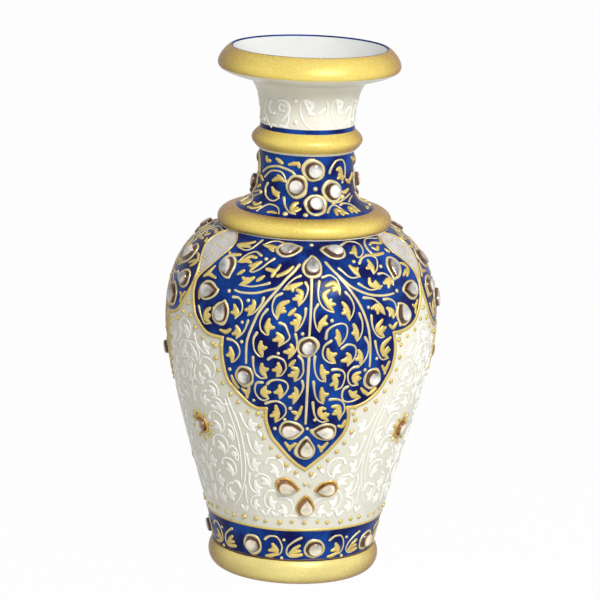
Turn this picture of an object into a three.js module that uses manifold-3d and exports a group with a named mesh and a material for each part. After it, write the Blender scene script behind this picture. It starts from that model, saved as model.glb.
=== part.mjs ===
// A turned marble vase with enamelled panels: foot, body, shoulder collar, neck and mouth, each turned on
// its own and cemented on a spigot, and the cut stones that are set on the outside in raised paste.
// Millimetres, +Z up. The vase stands on z = 0 with its axis on Z, and its front panel faces -Y.
import * as THREE from "three";
import { mergeVertices } from "three/addons/utils/BufferGeometryUtils.js";
import Module from "manifold-3d";

// Heights of the turned pieces, from the ground up
const footHeight = 10.5;
const bodyHeight = 141.1;
const collarHeight = 7.4;
const neckHeight = 25.5;
const neckRingHeight = 9.5;
const throatHeight = 21.1;
const rimHeight = 13.9;

// Outer radii
const footContactRadius = 34;
const footRadius = 37.1;
const bodyBaseRadius = 35.1;
const bellyRadius = 58.4;
const shoulderRadius = 36;
const collarRadius = 37.5;
const neckFlareRadius = 30.4;
const neckRadius = 20.4;
const neckRingRadius = 23.85;
const rimUndersideRadius = 25.5;
const rimRadius = 39.2;
const rimInnerRadius = 33.5;

// Where the belly is widest, and how each curve of the body leaves and meets its ends. Heights are shares
// of the body's height, and the two spreads are shares of the way out from base or shoulder to belly.
const bellyHeightShare = 0.72;
const baseCurveRise = 0.152;
const baseCurveSpread = 0.15;
const belowBellyRun = 0.2;
const aboveBellyRun = 0.17;
const shoulderCurveDrop = 0.03;
const shoulderCurveSpread = 0.53;

// How full the mouldings are: how far a curve's handles stand outside the moulding's radius, and their
// heights as shares of the moulding's height
const footFullness = 0.9;
const footFullHeights = [0.2, 0.75];
const footShoulder = 0.4;
const collarFullness = 1.1;
const collarFullHeights = [0.106, 1];
const neckRingFullness = 1.1;
const neckRingFullHeights = [0.46, 0.56];
const neckFlareHeights = [0.158, 0.012, 0.665];
const neckFlareDraw = 0.33;
const throatHeights = [0.093, 0.728];
const throatWaist = 0.8;
const rimWaistShare = 0.468;
const rimLowerHandles = [0.895, 0.203, 0.161];
const rimUpperHandles = [0.211, 1.44];
const funnelDraw = 5;
const funnelHeights = [0.45, 0.95, 0.2];

// The hollow: the wall and floor left by the turner, and the bore through neck and throat
const wallThickness = 7.6;
const floorThickness = 12;
const boreRadius = 13.5;
const ledgeThickness = 5;
const floorCorner = 4;
const ceilingSpread = 0.62;
const hollowTopRun = 0.153;
const hollowBaseRise = 0.13;

// The cemented joints: the cement line, and each spigot with its socket
const cementGap = 0.3;
const footSpigotRadius = 21;
const footSpigotLength = 3.5;
const neckSpigotRadius = 22.3;
const neckSocketDepth = 6;
const mouthSpigotRadius = 17.3;
const mouthSpigotLength = 5;

// The cut stones: pear drops and rounds, how proud they stand, and the paste stems between three drops
const dropLength = 8.6;
const dropWidth = 6;
const bodyRoundDiameter = 6.4;
const neckRoundDiameter = 6;
const bandRoundDiameter = 6;
const stoneThickness = 2;
const girdleShare = 0.5;
const tableShare = 0.6;
const stemWidth = 1.2;
const stemThickness = 0.8;
const stoneSides = 10;
const stemLift = 1;

// Where the decoration sits. Angles are degrees round the axis from the middle of a panel, and heights
// are shares of the height of the piece that carries the stone. The neck's groups are laid by eye, so
// they stand a little off the middles of the panels.
const panelCount = 3;
const dropGroups = [
  { name: "top_drops", centre: [0, 0.985], drops: [[-12.5, 0.977], [0, 0.942], [12.5, 0.977]] },
  { name: "left_drops", centre: [-37, 0.857], drops: [[-43.1, 0.916], [-48.5, 0.845], [-39.5, 0.794]] },
  { name: "right_drops", centre: [38.5, 0.865], drops: [[43.7, 0.92], [50.3, 0.857], [43, 0.797]] },
  { name: "tip_drops", centre: [0, 0.432], drops: [[-7.6, 0.447], [7.7, 0.443], [0, 0.389]] },
  { name: "lower_drops", centre: [2, 0.242], drops: [[-8.6, 0.252], [12.1, 0.248], [2, 0.189]] },
];
const roundStones = [
  { name: "centre_stone", place: [-1.4, 0.712] },
  { name: "left_round_stone", place: [-28.3, 0.608] },
  { name: "right_round_stone", place: [28.3, 0.607] },
];
const neckStones = [
  { name: "top", place: [5.6, 0.78] },
  { name: "left", place: [-15, 0.494] },
  { name: "right", place: [29.4, 0.416] },
  { name: "bottom", place: [7.3, 0.208] },
];
const neckTurns = [0, 108, 232];
const flowerAngles = [55.5, 179, -58];
const flowerShare = 0.413;
const bandStoneAngles = [-90, -33, 10, 55, 100, 143, 187, 230];
const bandStoneShare = 0.043;

// The raised gold work on the body: how wide its lines are, how proud they stand, how deep they are
// rooted, how wide their crowns are against their roots, and how far apart the points of a line are
const borderWidth = 1.75;
const stemLineWidth = 1.25;
const bandLineWidth = 1.2;
const lineRise = 0.42;
const lineRoot = 0.9;
const lineCrownShare = 0.6;
const lineStep = 5.5;
const bandLineShare = 0.106;

// The scalloped border of a panel, down its right and its left side in stretches that meet at the cusps,
// and the panel's main stems. Places are written as those of the stones are.
const panelBorders = [
  [[51.2, 0.99], [50.2, 0.972], [53.5, 0.943], [58.4, 0.904], [59.2, 0.854], [56, 0.807], [51.5, 0.766],
    [45, 0.746], [37.3, 0.741]],
  [[37.3, 0.741], [38.6, 0.691], [38.6, 0.663], [37.6, 0.627], [32.7, 0.568], [26.7, 0.533],
    [20.7, 0.519], [17.4, 0.519]],
  [[17.4, 0.519], [18.7, 0.482], [17.6, 0.436], [13.3, 0.396], [6.7, 0.352], [0, 0.315]],
  [[-51, 0.991], [-47.8, 0.967], [-51.5, 0.932], [-56.9, 0.891], [-59.3, 0.851], [-57.2, 0.797],
    [-52.5, 0.748], [-45, 0.718], [-38.9, 0.717]],
  [[-38.9, 0.717], [-39.2, 0.663], [-38.2, 0.617], [-33.7, 0.561], [-26.7, 0.519], [-19.1, 0.511]],
  [[-19.1, 0.511], [-19.3, 0.466], [-16.7, 0.417], [-10.7, 0.37], [-4, 0.33], [0, 0.315]],
];
const panelStems = [
  [[-0.7, 0.909], [-0.9, 0.833], [-1.2, 0.769]],
  [[-1.1, 0.67], [-1.2, 0.599], [-1.2, 0.482]],
  [[12.2, 0.916], [18, 0.865], [22.5, 0.804], [25.2, 0.719], [25.8, 0.654]],
  [[6.7, 0.952], [13, 0.913], [20, 0.877], [30, 0.856], [34, 0.855]],
  [[-6.7, 0.945], [-14.1, 0.892], [-21.5, 0.824], [-25.8, 0.755], [-27.7, 0.658]],
  [[-14.1, 0.892], [-20.2, 0.872], [-31, 0.858]],
];

// Faces round the turned pieces
const turnedSides = 40;
const wallSteps = 8;
const mouldingSteps = 6;
const hollowSteps = 5;
const fineSteps = 240;

const marble = new THREE.MeshStandardMaterial({ color: 0xe9e7e0, roughness: 0.35, metalness: 0 });
const gilding = new THREE.MeshStandardMaterial({ color: 0xd2b65a, roughness: 0.42, metalness: 0.55 });
const blueEnamel = new THREE.MeshStandardMaterial({ color: 0x12219a, roughness: 0.2, metalness: 0 });
const cutGlass = new THREE.MeshStandardMaterial({ color: 0xc9d0d2, roughness: 0.1, metalness: 0.2 });

const footTop = footHeight;
const shoulderZ = footTop + bodyHeight;
const collarTop = shoulderZ + collarHeight;
const neckTop = collarTop + neckHeight;
const neckRingTop = neckTop + neckRingHeight;
const throatTop = neckRingTop + throatHeight;
const rimTop = throatTop + rimHeight;

const bellyZ = footTop + bellyHeightShare * bodyHeight;
const bodyBottom = footTop + cementGap;
const ceilingZ = shoulderZ - neckSocketDepth - cementGap - ledgeThickness;

function curve(start, startHandle, endHandle, end, steps) {
  const corners = [start, startHandle, endHandle, end].map(([r, z]) => new THREE.Vector2(r, z));
  return new THREE.CubicBezierCurve(...corners).getPoints(steps);
}

function corner(r, z) {
  return new THREE.Vector2(r, z);
}

function lowerWall(steps) {
  const spread = baseCurveSpread * (bellyRadius - bodyBaseRadius);
  return curve(
    [bodyBaseRadius, bodyBottom],
    [bodyBaseRadius + spread, bodyBottom + baseCurveRise * bodyHeight],
    [bellyRadius, bellyZ - belowBellyRun * bodyHeight],
    [bellyRadius, bellyZ],
    steps,
  );
}

function upperWall(steps) {
  const spread = shoulderCurveSpread * (bellyRadius - shoulderRadius);
  return curve(
    [bellyRadius, bellyZ],
    [bellyRadius, bellyZ + aboveBellyRun * bodyHeight],
    [shoulderRadius + spread, shoulderZ - shoulderCurveDrop * bodyHeight],
    [shoulderRadius, shoulderZ],
    steps,
  );
}

function neckWall(steps) {
  const heights = neckFlareHeights.map((share) => collarTop + share * neckHeight);
  const [flareHandle, shaftHandle, shaftStart] = heights;
  return curve(
    [neckFlareRadius, collarTop + cementGap],
    [neckFlareRadius - neckFlareDraw * (neckFlareRadius - neckRadius), flareHandle],
    [neckRadius, shaftHandle],
    [neckRadius, shaftStart],
    steps,
  );
}

// A turned piece: its half outline swept round the axis
function turned(outline) {
  const geometry = new THREE.LatheGeometry(outline, turnedSides);
  geometry.rotateX(Math.PI / 2);
  return geometry;
}

function footGeometry() {
  const socketRadius = footSpigotRadius + cementGap;
  const socketFloor = footTop - footSpigotLength;
  const [lowHandle, highHandle] = footFullHeights.map((share) => share * footHeight);
  const side = curve(
    [footContactRadius, 0],
    [footRadius + footFullness, lowHandle],
    [footRadius + footFullness, highHandle],
    [bodyBaseRadius + footShoulder, footTop],
    mouldingSteps,
  );
  return turned([
    corner(0, 0),
    ...side,
    corner(socketRadius, footTop),
    corner(socketRadius, socketFloor),
    corner(0, socketFloor),
  ]);
}

function bodyGeometry() {
  const spigotEnd = bodyBottom - footSpigotLength + cementGap;
  const socketRadius = neckSpigotRadius + cementGap;
  const socketFloor = shoulderZ - neckSocketDepth;
  const innerBelly = bellyRadius - wallThickness;
  const innerBase = bodyBaseRadius - wallThickness;
  const floorZ = bodyBottom + floorThickness;
  const innerUpper = curve(
    [boreRadius, ceilingZ],
    [boreRadius + ceilingSpread * (innerBelly - boreRadius), ceilingZ],
    [innerBelly, bellyZ + hollowTopRun * bodyHeight],
    [innerBelly, bellyZ],
    hollowSteps,
  );
  const innerLower = curve(
    [innerBelly, bellyZ],
    [innerBelly, bellyZ - belowBellyRun * bodyHeight],
    [innerBase + baseCurveSpread * (innerBelly - innerBase), floorZ + hollowBaseRise * bodyHeight],
    [innerBase, floorZ + floorCorner],
    hollowSteps,
  );
  return turned([
    corner(0, spigotEnd),
    corner(footSpigotRadius, spigotEnd),
    corner(footSpigotRadius, bodyBottom),
    ...lowerWall(wallSteps),
    ...upperWall(wallSteps).slice(1),
    corner(socketRadius, shoulderZ),
    corner(socketRadius, socketFloor),
    corner(boreRadius, socketFloor),
    ...innerUpper,
    ...innerLower.slice(1),
    corner(innerBase - floorCorner, floorZ),
    corner(0, floorZ),
  ]);
}

function collarGeometry() {
  const seat = shoulderZ + cementGap;
  const bore = neckSpigotRadius + cementGap;
  const [lowHandle, highHandle] = collarFullHeights.map((share) => seat + share * collarHeight);
  const side = curve(
    [shoulderRadius, seat],
    [collarRadius + collarFullness, lowHandle],
    [collarRadius + collarFullness, highHandle],
    [neckFlareRadius, collarTop],
    mouldingSteps,
  );
  return turned([corner(bore, seat), ...side, corner(bore, collarTop), corner(bore, seat)]);
}

function neckGeometry() {
  const spigotEnd = shoulderZ - neckSocketDepth + cementGap;
  const socketRadius = mouthSpigotRadius + cementGap;
  const socketFloor = neckTop - mouthSpigotLength;
  return turned([
    corner(boreRadius, spigotEnd),
    corner(neckSpigotRadius, spigotEnd),
    corner(neckSpigotRadius, collarTop + cementGap),
    ...neckWall(wallSteps),
    corner(neckRadius, neckTop),
    corner(socketRadius, neckTop),
    corner(socketRadius, socketFloor),
    corner(boreRadius, socketFloor),
    corner(boreRadius, spigotEnd),
  ]);
}

function mouthGeometry() {
  const spigotEnd = neckTop - mouthSpigotLength + cementGap;
  const ringSeat = neckTop + cementGap;
  const [ringLow, ringHigh] = neckRingFullHeights.map((share) => ringSeat + share * neckRingHeight);
  const ring = curve(
    [neckRadius + cementGap, ringSeat],
    [neckRingRadius + neckRingFullness, ringLow],
    [neckRingRadius + neckRingFullness, ringHigh],
    [neckRadius, neckRingTop],
    mouldingSteps,
  );
  const [throatLow, throatHigh] = throatHeights.map((share) => neckRingTop + share * throatHeight);
  const throat = curve(
    [neckRadius, neckRingTop],
    [neckRadius, throatLow],
    [neckRadius - throatWaist, throatHigh],
    [rimUndersideRadius, throatTop],
    mouldingSteps,
  );
  const rimWaist = throatTop + rimWaistShare * rimHeight;
  const [underOut, underUp, waistDown] = rimLowerHandles;
  const rimUnderside = curve(
    [rimUndersideRadius, throatTop],
    [rimUndersideRadius + underOut * (rimRadius - rimUndersideRadius), throatTop + underUp * rimHeight],
    [rimRadius, rimWaist - waistDown * rimHeight],
    [rimRadius, rimWaist],
    mouldingSteps,
  );
  const [waistUp, crestOut] = rimUpperHandles;
  const rimCrest = curve(
    [rimRadius, rimWaist],
    [rimRadius, rimWaist + waistUp * rimHeight],
    [rimInnerRadius + crestOut, rimTop],
    [rimInnerRadius, rimTop],
    mouldingSteps,
  );
  const [lipDrop, funnelFoot, boreTop] = funnelHeights;
  const funnel = curve(
    [rimInnerRadius, rimTop],
    [rimInnerRadius - funnelDraw, rimTop - lipDrop * rimHeight],
    [boreRadius, neckRingTop + funnelFoot * throatHeight],
    [boreRadius, neckRingTop + boreTop * throatHeight],
    mouldingSteps,
  );
  return turned([
    corner(boreRadius, spigotEnd),
    corner(mouthSpigotRadius, spigotEnd),
    corner(mouthSpigotRadius, ringSeat),
    ...ring,
    ...throat.slice(1),
    ...rimUnderside.slice(1),
    ...rimCrest.slice(1),
    ...funnel.slice(1),
    corner(boreRadius, spigotEnd),
  ]);
}

// Radius and slope of an outside wall at a height, read off its own curve
function wallAt(points, z) {
  const above = points.findIndex((point) => point.y >= z);
  const index = Math.min(Math.max(above, 1), points.length - 1);
  const low = points[index - 1];
  const high = points[index];
  const share = (z - low.y) / (high.y - low.y);
  return {
    radius: low.x + share * (high.x - low.x),
    slope: (high.x - low.x) / (high.y - low.y),
  };
}

const bodyWall = [...lowerWall(fineSteps), ...upperWall(fineSteps).slice(1)];
const fineNeckWall = neckWall(fineSteps);
const neckOutside = [...fineNeckWall, corner(neckRadius, neckTop)];

// The place of a stone on a wall: x runs round the vase, y up the wall and z straight out of it
function seat(points, angleDegrees, height, lift) {
  const angle = THREE.MathUtils.degToRad(angleDegrees);
  const { radius, slope } = wallAt(points, height);
  const out = new THREE.Vector3(Math.sin(angle), -Math.cos(angle), 0);
  const round = new THREE.Vector3(Math.cos(angle), Math.sin(angle), 0);
  const normal = out.clone().addScaledVector(new THREE.Vector3(0, 0, 1), -slope).normalize();
  const upWall = normal.clone().cross(round);
  const point = out.clone().multiplyScalar(radius).add(new THREE.Vector3(0, 0, height));
  const place = new THREE.Matrix4().makeBasis(round, upWall, normal);
  return place.setPosition(point.addScaledVector(normal, lift));
}

// How far a flat-backed stone must stand off a wall so that the cement line is open all round it
function clearLift(points, angleDegrees, height, reach) {
  const place = seat(points, angleDegrees, height, 0);
  const lifts = [-1, -0.5, 0, 0.5, 1].map((share) => {
    const edge = new THREE.Vector3(0, share * reach, 0).applyMatrix4(place);
    return wallAt(points, edge.z).radius - Math.hypot(edge.x, edge.y);
  });
  return Math.max(0, ...lifts) + cementGap;
}

function roundOutline(diameter) {
  return Array.from({ length: stoneSides }, (_, i) => {
    const turn = (2 * Math.PI * i) / stoneSides;
    return [(diameter / 2) * Math.cos(turn), (diameter / 2) * Math.sin(turn)];
  });
}

// A pear drop with its point towards +y. The pear's own curve is widest at 4 / sqrt(27) of its scale.
function dropOutline() {
  const widest = 4 / Math.sqrt(27);
  return Array.from({ length: stoneSides }, (_, i) => {
    const turn = (2 * Math.PI * i) / stoneSides;
    const across = ((dropWidth / 2) * Math.sin(turn) * Math.sin(turn / 2)) / widest;
    return [-across, (dropLength / 2) * Math.cos(turn)];
  });
}

// A cut stone: straight sides up to its girdle, then a bevel in to a flat table
function stoneGeometry(outline) {
  const levels = [
    [1, 0],
    [1, girdleShare * stoneThickness],
    [tableShare, stoneThickness],
  ];
  const count = outline.length;
  const positions = levels.flatMap(([share, z]) => outline.flatMap(([x, y]) => [share * x, share * y, z]));
  const faces = [];
  for (let level = 0; level < levels.length - 1; level++) {
    for (let i = 0; i < count; i++) {
      const a = level * count + i;
      const b = level * count + ((i + 1) % count);
      faces.push(a, b, b + count, a, b + count, a + count);
    }
  }
  const top = (levels.length - 1) * count;
  for (let i = 1; i < count - 1; i++) {
    faces.push(0, i + 1, i);
    faces.push(top, top + i, top + i + 1);
  }
  const geometry = new THREE.BufferGeometry();
  geometry.setAttribute("position", new THREE.Float32BufferAttribute(positions, 3));
  geometry.setIndex(faces);
  return geometry;
}

const wasm = await Module();
wasm.setup();

function solid(geometry) {
  const bare = geometry.clone();
  bare.deleteAttribute("normal");
  bare.deleteAttribute("uv");
  const merged = mergeVertices(bare, 1e-4);
  const corners = Array.from(merged.index.array);
  const whole = corners.filter((_, i) => {
    const [a, b, c] = corners.slice(i - (i % 3), i - (i % 3) + 3);
    return a !== b && b !== c && c !== a;
  });
  const mesh = new wasm.Mesh({
    numProp: 3,
    vertProperties: new Float32Array(merged.attributes.position.array),
    triVerts: new Uint32Array(whole),
  });
  return new wasm.Manifold(mesh);
}

function geometryOf(joined) {
  const mesh = joined.getMesh();
  const geometry = new THREE.BufferGeometry();
  geometry.setAttribute("position", new THREE.BufferAttribute(new Float32Array(mesh.vertProperties), 3));
  geometry.setIndex(new THREE.BufferAttribute(new Uint32Array(mesh.triVerts), 1));
  return geometry;
}

function bodyZ(share) {
  return footTop + share * bodyHeight;
}

// The flat stem of paste from the middle of three drops to one of them
function stemGeometry(from, to, outward) {
  const along = to.clone().sub(from);
  const length = along.length();
  along.normalize();
  const across = outward.clone().cross(along).normalize();
  const up = along.clone().cross(across);
  const geometry = new THREE.BoxGeometry(stemWidth, length, stemThickness);
  const middle = from.clone().add(to).multiplyScalar(0.5);
  const place = new THREE.Matrix4().makeBasis(across.clone().negate(), along, up);
  return geometry.applyMatrix4(place.setPosition(middle));
}

// Three pear drops whose points meet at a dot of paste, as one piece
function dropGroupGeometry({ centre, drops }) {
  const [centreAngle, centreShare] = centre;
  const dot = seat(bodyWall, centreAngle, bodyZ(centreShare), stemLift);
  const dotPoint = new THREE.Vector3().setFromMatrixPosition(dot);
  const outward = new THREE.Vector3().setFromMatrixColumn(dot, 2);
  const pieces = drops.flatMap(([angle, share]) => {
    const height = bodyZ(share);
    const lift = clearLift(bodyWall, angle, height, dropLength / 2);
    const place = seat(bodyWall, angle, height, lift);
    const towards = dotPoint.clone().applyMatrix4(place.clone().invert());
    const turn = Math.atan2(-towards.x, towards.y);
    const drop = stoneGeometry(dropOutline());
    drop.applyMatrix4(new THREE.Matrix4().makeRotationZ(turn)).applyMatrix4(place);
    const stemEnd = seat(bodyWall, angle, height, stemLift);
    const stem = stemGeometry(dotPoint, new THREE.Vector3().setFromMatrixPosition(stemEnd), outward);
    return [solid(drop), solid(stem)];
  });
  return geometryOf(pieces.reduce((joined, piece) => joined.add(piece)));
}

// A raised line of even width along a path on the body, flat on its crown and rooted in the marble
function raisedLine(path, width) {
  const onWall = ([angle, share]) => {
    const place = seat(bodyWall, angle, bodyZ(share), 0);
    return new THREE.Vector3().setFromMatrixPosition(place);
  };
  const run = new THREE.CatmullRomCurve3(path.map(onWall), false, "centripetal");
  const stations = run.getSpacedPoints(Math.max(2, Math.round(run.getLength() / lineStep)));
  const section = [
    [-width / 2, -lineRoot],
    [width / 2, -lineRoot],
    [(lineCrownShare * width) / 2, lineRise],
    [(-lineCrownShare * width) / 2, lineRise],
  ];
  const positions = stations.flatMap((point, i) => {
    const angle = THREE.MathUtils.radToDeg(Math.atan2(point.x, -point.y));
    const place = seat(bodyWall, angle, point.z, 0);
    const middle = new THREE.Vector3().setFromMatrixPosition(place);
    const normal = new THREE.Vector3().setFromMatrixColumn(place, 2);
    const before = stations[Math.max(i - 1, 0)];
    const after = stations[Math.min(i + 1, stations.length - 1)];
    const across = after.clone().sub(before).cross(normal).normalize();
    return section.flatMap(([x, z]) =>
      middle.clone().addScaledVector(across, x).addScaledVector(normal, z).toArray(),
    );
  });
  const sides = section.length;
  const last = (stations.length - 1) * sides;
  const faces = [0, 1, 2, 0, 2, 3, last, last + 2, last + 1, last, last + 3, last + 2];
  for (let start = 0; start < last; start += sides) {
    for (let i = 0; i < sides; i++) {
      const a = start + i;
      const b = start + ((i + 1) % sides);
      faces.push(a, b + sides, b, a, a + sides, b + sides);
    }
  }
  const geometry = new THREE.BufferGeometry();
  geometry.setAttribute("position", new THREE.Float32BufferAttribute(positions, 3));
  geometry.setIndex(faces);
  return geometry;
}

// The turned body with its raised gold work: its panels' borders and stems, and the line over its band
function decoratedBody() {
  const lines = [
    ...panelBorders.map((path) => raisedLine(path, borderWidth)),
    ...panelStems.map((path) => raisedLine(path, stemLineWidth)),
  ];
  const bandZ = bodyZ(bandLineShare);
  const { radius } = wallAt(bodyWall, bandZ);
  const root = corner(radius - lineRoot, bandZ - bandLineWidth / 2);
  const bandLine = turned([
    root,
    corner(radius + lineRise, bandZ - (lineCrownShare * bandLineWidth) / 2),
    corner(radius + lineRise, bandZ + (lineCrownShare * bandLineWidth) / 2),
    corner(radius - lineRoot, bandZ + bandLineWidth / 2),
    root,
  ]);
  let body = solid(bodyGeometry()).add(solid(bandLine));
  for (let panel = 0; panel < panelCount; panel++) {
    for (const line of lines) {
      body = body.add(solid(line.clone().rotateZ((2 * Math.PI * panel) / panelCount)));
    }
  }
  return geometryOf(body);
}

function named(name, geometry, material) {
  const mesh = new THREE.Mesh(geometry, material);
  mesh.name = name;
  return mesh;
}

function roundStone(name, points, angle, height, diameter) {
  const stone = named(name, stoneGeometry(roundOutline(diameter)), cutGlass);
  const lift = clearLift(points, angle, height, diameter / 2);
  stone.applyMatrix4(seat(points, angle, height, lift));
  return stone;
}

// One panel's stones
function panelStones(number) {
  const panel = new THREE.Group();
  for (const group of dropGroups) {
    panel.add(named(`panel${number}_${group.name}`, dropGroupGeometry(group), cutGlass));
  }
  for (const { name, place } of roundStones) {
    const height = bodyZ(place[1]);
    panel.add(roundStone(`panel${number}_${name}`, bodyWall, place[0], height, bodyRoundDiameter));
  }
  panel.rotation.z = (2 * Math.PI * (number - 1)) / panelCount;
  return panel;
}

// The four round stones on the neck above a panel
function neckGroup(number) {
  const group = new THREE.Group();
  for (const { name, place } of neckStones) {
    const height = collarTop + place[1] * neckHeight;
    group.add(roundStone(`neck${number}_${name}_stone`, neckOutside, place[0], height, neckRoundDiameter));
  }
  group.rotation.z = THREE.MathUtils.degToRad(neckTurns[number - 1]);
  return group;
}

const vase = new THREE.Group();
vase.name = "marble_vase";
vase.add(named("foot", footGeometry(), gilding));
vase.add(named("body", decoratedBody(), marble));
vase.add(named("shoulder_collar", collarGeometry(), gilding));
vase.add(named("neck", neckGeometry(), blueEnamel));
vase.add(named("mouth", mouthGeometry(), marble));
for (let number = 1; number <= panelCount; number++) {
  vase.add(panelStones(number));
  vase.add(neckGroup(number));
}
flowerAngles.forEach((angle, index) => {
  const name = `flower_stone_${index + 1}`;
  vase.add(roundStone(name, bodyWall, angle, bodyZ(flowerShare), bodyRoundDiameter));
});
bandStoneAngles.forEach((angle, index) => {
  const name = `band_stone_${index + 1}`;
  vase.add(roundStone(name, bodyWall, angle, bodyZ(bandStoneShare), bandRoundDiameter));
});

export default vase;
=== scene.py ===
"""Looks of a turned marble vase: gilded rings, blue enamel, piped gold and white lines, and cut stones."""
import math
import random
from bisect import bisect_right
from collections import namedtuple

import bpy
from bpy.props import FloatProperty, FloatVectorProperty, IntProperty, PointerProperty
from mathutils import Matrix, Vector
from mathutils.geometry import delaunay_2d_cdt


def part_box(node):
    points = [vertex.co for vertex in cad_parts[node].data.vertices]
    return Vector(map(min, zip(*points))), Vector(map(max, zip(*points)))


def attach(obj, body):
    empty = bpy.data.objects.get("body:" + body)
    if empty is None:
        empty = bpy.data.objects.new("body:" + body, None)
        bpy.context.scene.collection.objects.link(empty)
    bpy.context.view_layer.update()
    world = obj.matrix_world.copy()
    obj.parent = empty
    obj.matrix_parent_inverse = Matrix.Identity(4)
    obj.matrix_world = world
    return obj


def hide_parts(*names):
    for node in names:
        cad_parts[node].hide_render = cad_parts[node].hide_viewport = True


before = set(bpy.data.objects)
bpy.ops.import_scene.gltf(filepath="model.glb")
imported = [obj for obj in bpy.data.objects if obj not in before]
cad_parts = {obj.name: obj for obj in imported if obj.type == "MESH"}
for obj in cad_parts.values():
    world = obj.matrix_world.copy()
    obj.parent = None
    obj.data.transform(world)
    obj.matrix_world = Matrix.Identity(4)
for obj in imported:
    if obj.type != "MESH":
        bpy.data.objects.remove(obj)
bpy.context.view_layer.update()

bl_info = {
    "name": "Enamelled marble vase",
    "version": (1, 0, 0),
    "blender": (4, 5, 0),
    "location": "3D View > Sidebar > Vase",
    "description": "Dresses the turned vase with marble, gilding, enamel, piped lines and stones",
    "category": "Object",
}

MM = 0.001
BODY = "root"


def top_of(node):
    """Height of a CAD piece's highest point, in millimetres."""
    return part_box(node)[1].z / MM


def reach_of(node):
    """Outer radius of a turned CAD piece, in millimetres."""
    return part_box(node)[1].x / MM


# Heights and radii of the turned pieces, in millimetres: those that the CAD pieces give, then the rest
FOOT_TOP = top_of("foot")
SHOULDER = top_of("body")
COLLAR_TOP = top_of("shoulder_collar")
NECK_TOP = top_of("neck")
RIM_TOP = top_of("mouth")
FOOT_RADIUS = reach_of("foot")
COLLAR_RADIUS = reach_of("shoulder_collar")
FLARE_RADIUS = reach_of("neck")
RIM_RADIUS = reach_of("mouth")
CEMENT = 0.3
PAINTED_JOINT = 0.03
COLLAR_LAP = 0.7
BODY_BOTTOM = FOOT_TOP + CEMENT
BODY_HEIGHT = SHOULDER - FOOT_TOP
NECK_HEIGHT = NECK_TOP - COLLAR_TOP
RING_HEIGHT = 9.5
RING_TOP = NECK_TOP + RING_HEIGHT
RIM_HEIGHT = 13.9
THROAT_TOP = RIM_TOP - RIM_HEIGHT
THROAT_HEIGHT = THROAT_TOP - RING_TOP
BELLY_Z = FOOT_TOP + 0.72 * BODY_HEIGHT
FOOT_CONTACT_RADIUS = 34.0
BASE_RADIUS = 35.1
BELLY_RADIUS = 58.4
SHOULDER_RADIUS = 36.0
NECK_RADIUS = 20.4
RING_RADIUS = 23.85
UNDER_RIM_RADIUS = 25.5
CREST_RADIUS = 33.5
BORE_RADIUS = 13.5
WALL_THICKNESS = 7.6
FLOOR_THICKNESS = 12.0
CEILING_THICKNESS = 11.3
FOOT_SOCKET_RADIUS, FOOT_SOCKET_DEPTH = 21.3, 3.5
FOOT_SPIGOT_RADIUS, FOOT_SPIGOT_LENGTH = 21.0, 3.2
NECK_SOCKET_RADIUS, NECK_SOCKET_DEPTH = 22.6, 6.0
NECK_SPIGOT_RADIUS, NECK_SPIGOT_LENGTH = 22.3, 5.7
MOUTH_SOCKET_RADIUS, MOUTH_SOCKET_DEPTH = 17.6, 5.0
MOUTH_SPIGOT_RADIUS, MOUTH_SPIGOT_LENGTH = 17.3, 4.7
BAND_TOP = 24.9
TURNED_SIDES = 192


def bezier(start, handle_a, handle_b, end, steps):
    """Points (radius, height) along a cubic curve, both ends included."""
    points = []
    for step in range(steps + 1):
        t = step / steps
        weights = ((1 - t) ** 3, 3 * (1 - t) ** 2 * t, 3 * (1 - t) * t * t, t ** 3)
        corners = (start, handle_a, handle_b, end)
        points.append(tuple(sum(w * c[axis] for w, c in zip(weights, corners)) for axis in (0, 1)))
    return points


def lower_wall(steps):
    """The outside of the body from the foot up to the belly."""
    spread = 0.15 * (BELLY_RADIUS - BASE_RADIUS)
    return bezier(
        (BASE_RADIUS, BODY_BOTTOM), (BASE_RADIUS + spread, BODY_BOTTOM + 0.152 * BODY_HEIGHT),
        (BELLY_RADIUS, BELLY_Z - 0.2 * BODY_HEIGHT), (BELLY_RADIUS, BELLY_Z), steps)


def upper_wall(steps):
    """The outside of the body from the belly up to the shoulder."""
    spread = 0.53 * (BELLY_RADIUS - SHOULDER_RADIUS)
    return bezier(
        (BELLY_RADIUS, BELLY_Z), (BELLY_RADIUS, BELLY_Z + 0.17 * BODY_HEIGHT),
        (SHOULDER_RADIUS + spread, SHOULDER - 0.03 * BODY_HEIGHT), (SHOULDER_RADIUS, SHOULDER), steps)


def neck_wall(steps):
    """The outside of the neck, from the collar up to where it runs straight."""
    draw = 0.33 * (FLARE_RADIUS - NECK_RADIUS)
    return bezier(
        (FLARE_RADIUS, COLLAR_TOP + PAINTED_JOINT), (FLARE_RADIUS - draw, COLLAR_TOP + 0.158 * NECK_HEIGHT),
        (NECK_RADIUS, COLLAR_TOP + 0.012 * NECK_HEIGHT), (NECK_RADIUS, COLLAR_TOP + 0.665 * NECK_HEIGHT),
        steps)


def throat_wall(steps):
    """The outside of the mouth from the ring up to the rim."""
    return bezier(
        (NECK_RADIUS, RING_TOP), (NECK_RADIUS, RING_TOP + 0.093 * THROAT_HEIGHT),
        (NECK_RADIUS - 0.8, RING_TOP + 0.728 * THROAT_HEIGHT), (UNDER_RIM_RADIUS, THROAT_TOP), steps)


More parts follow.
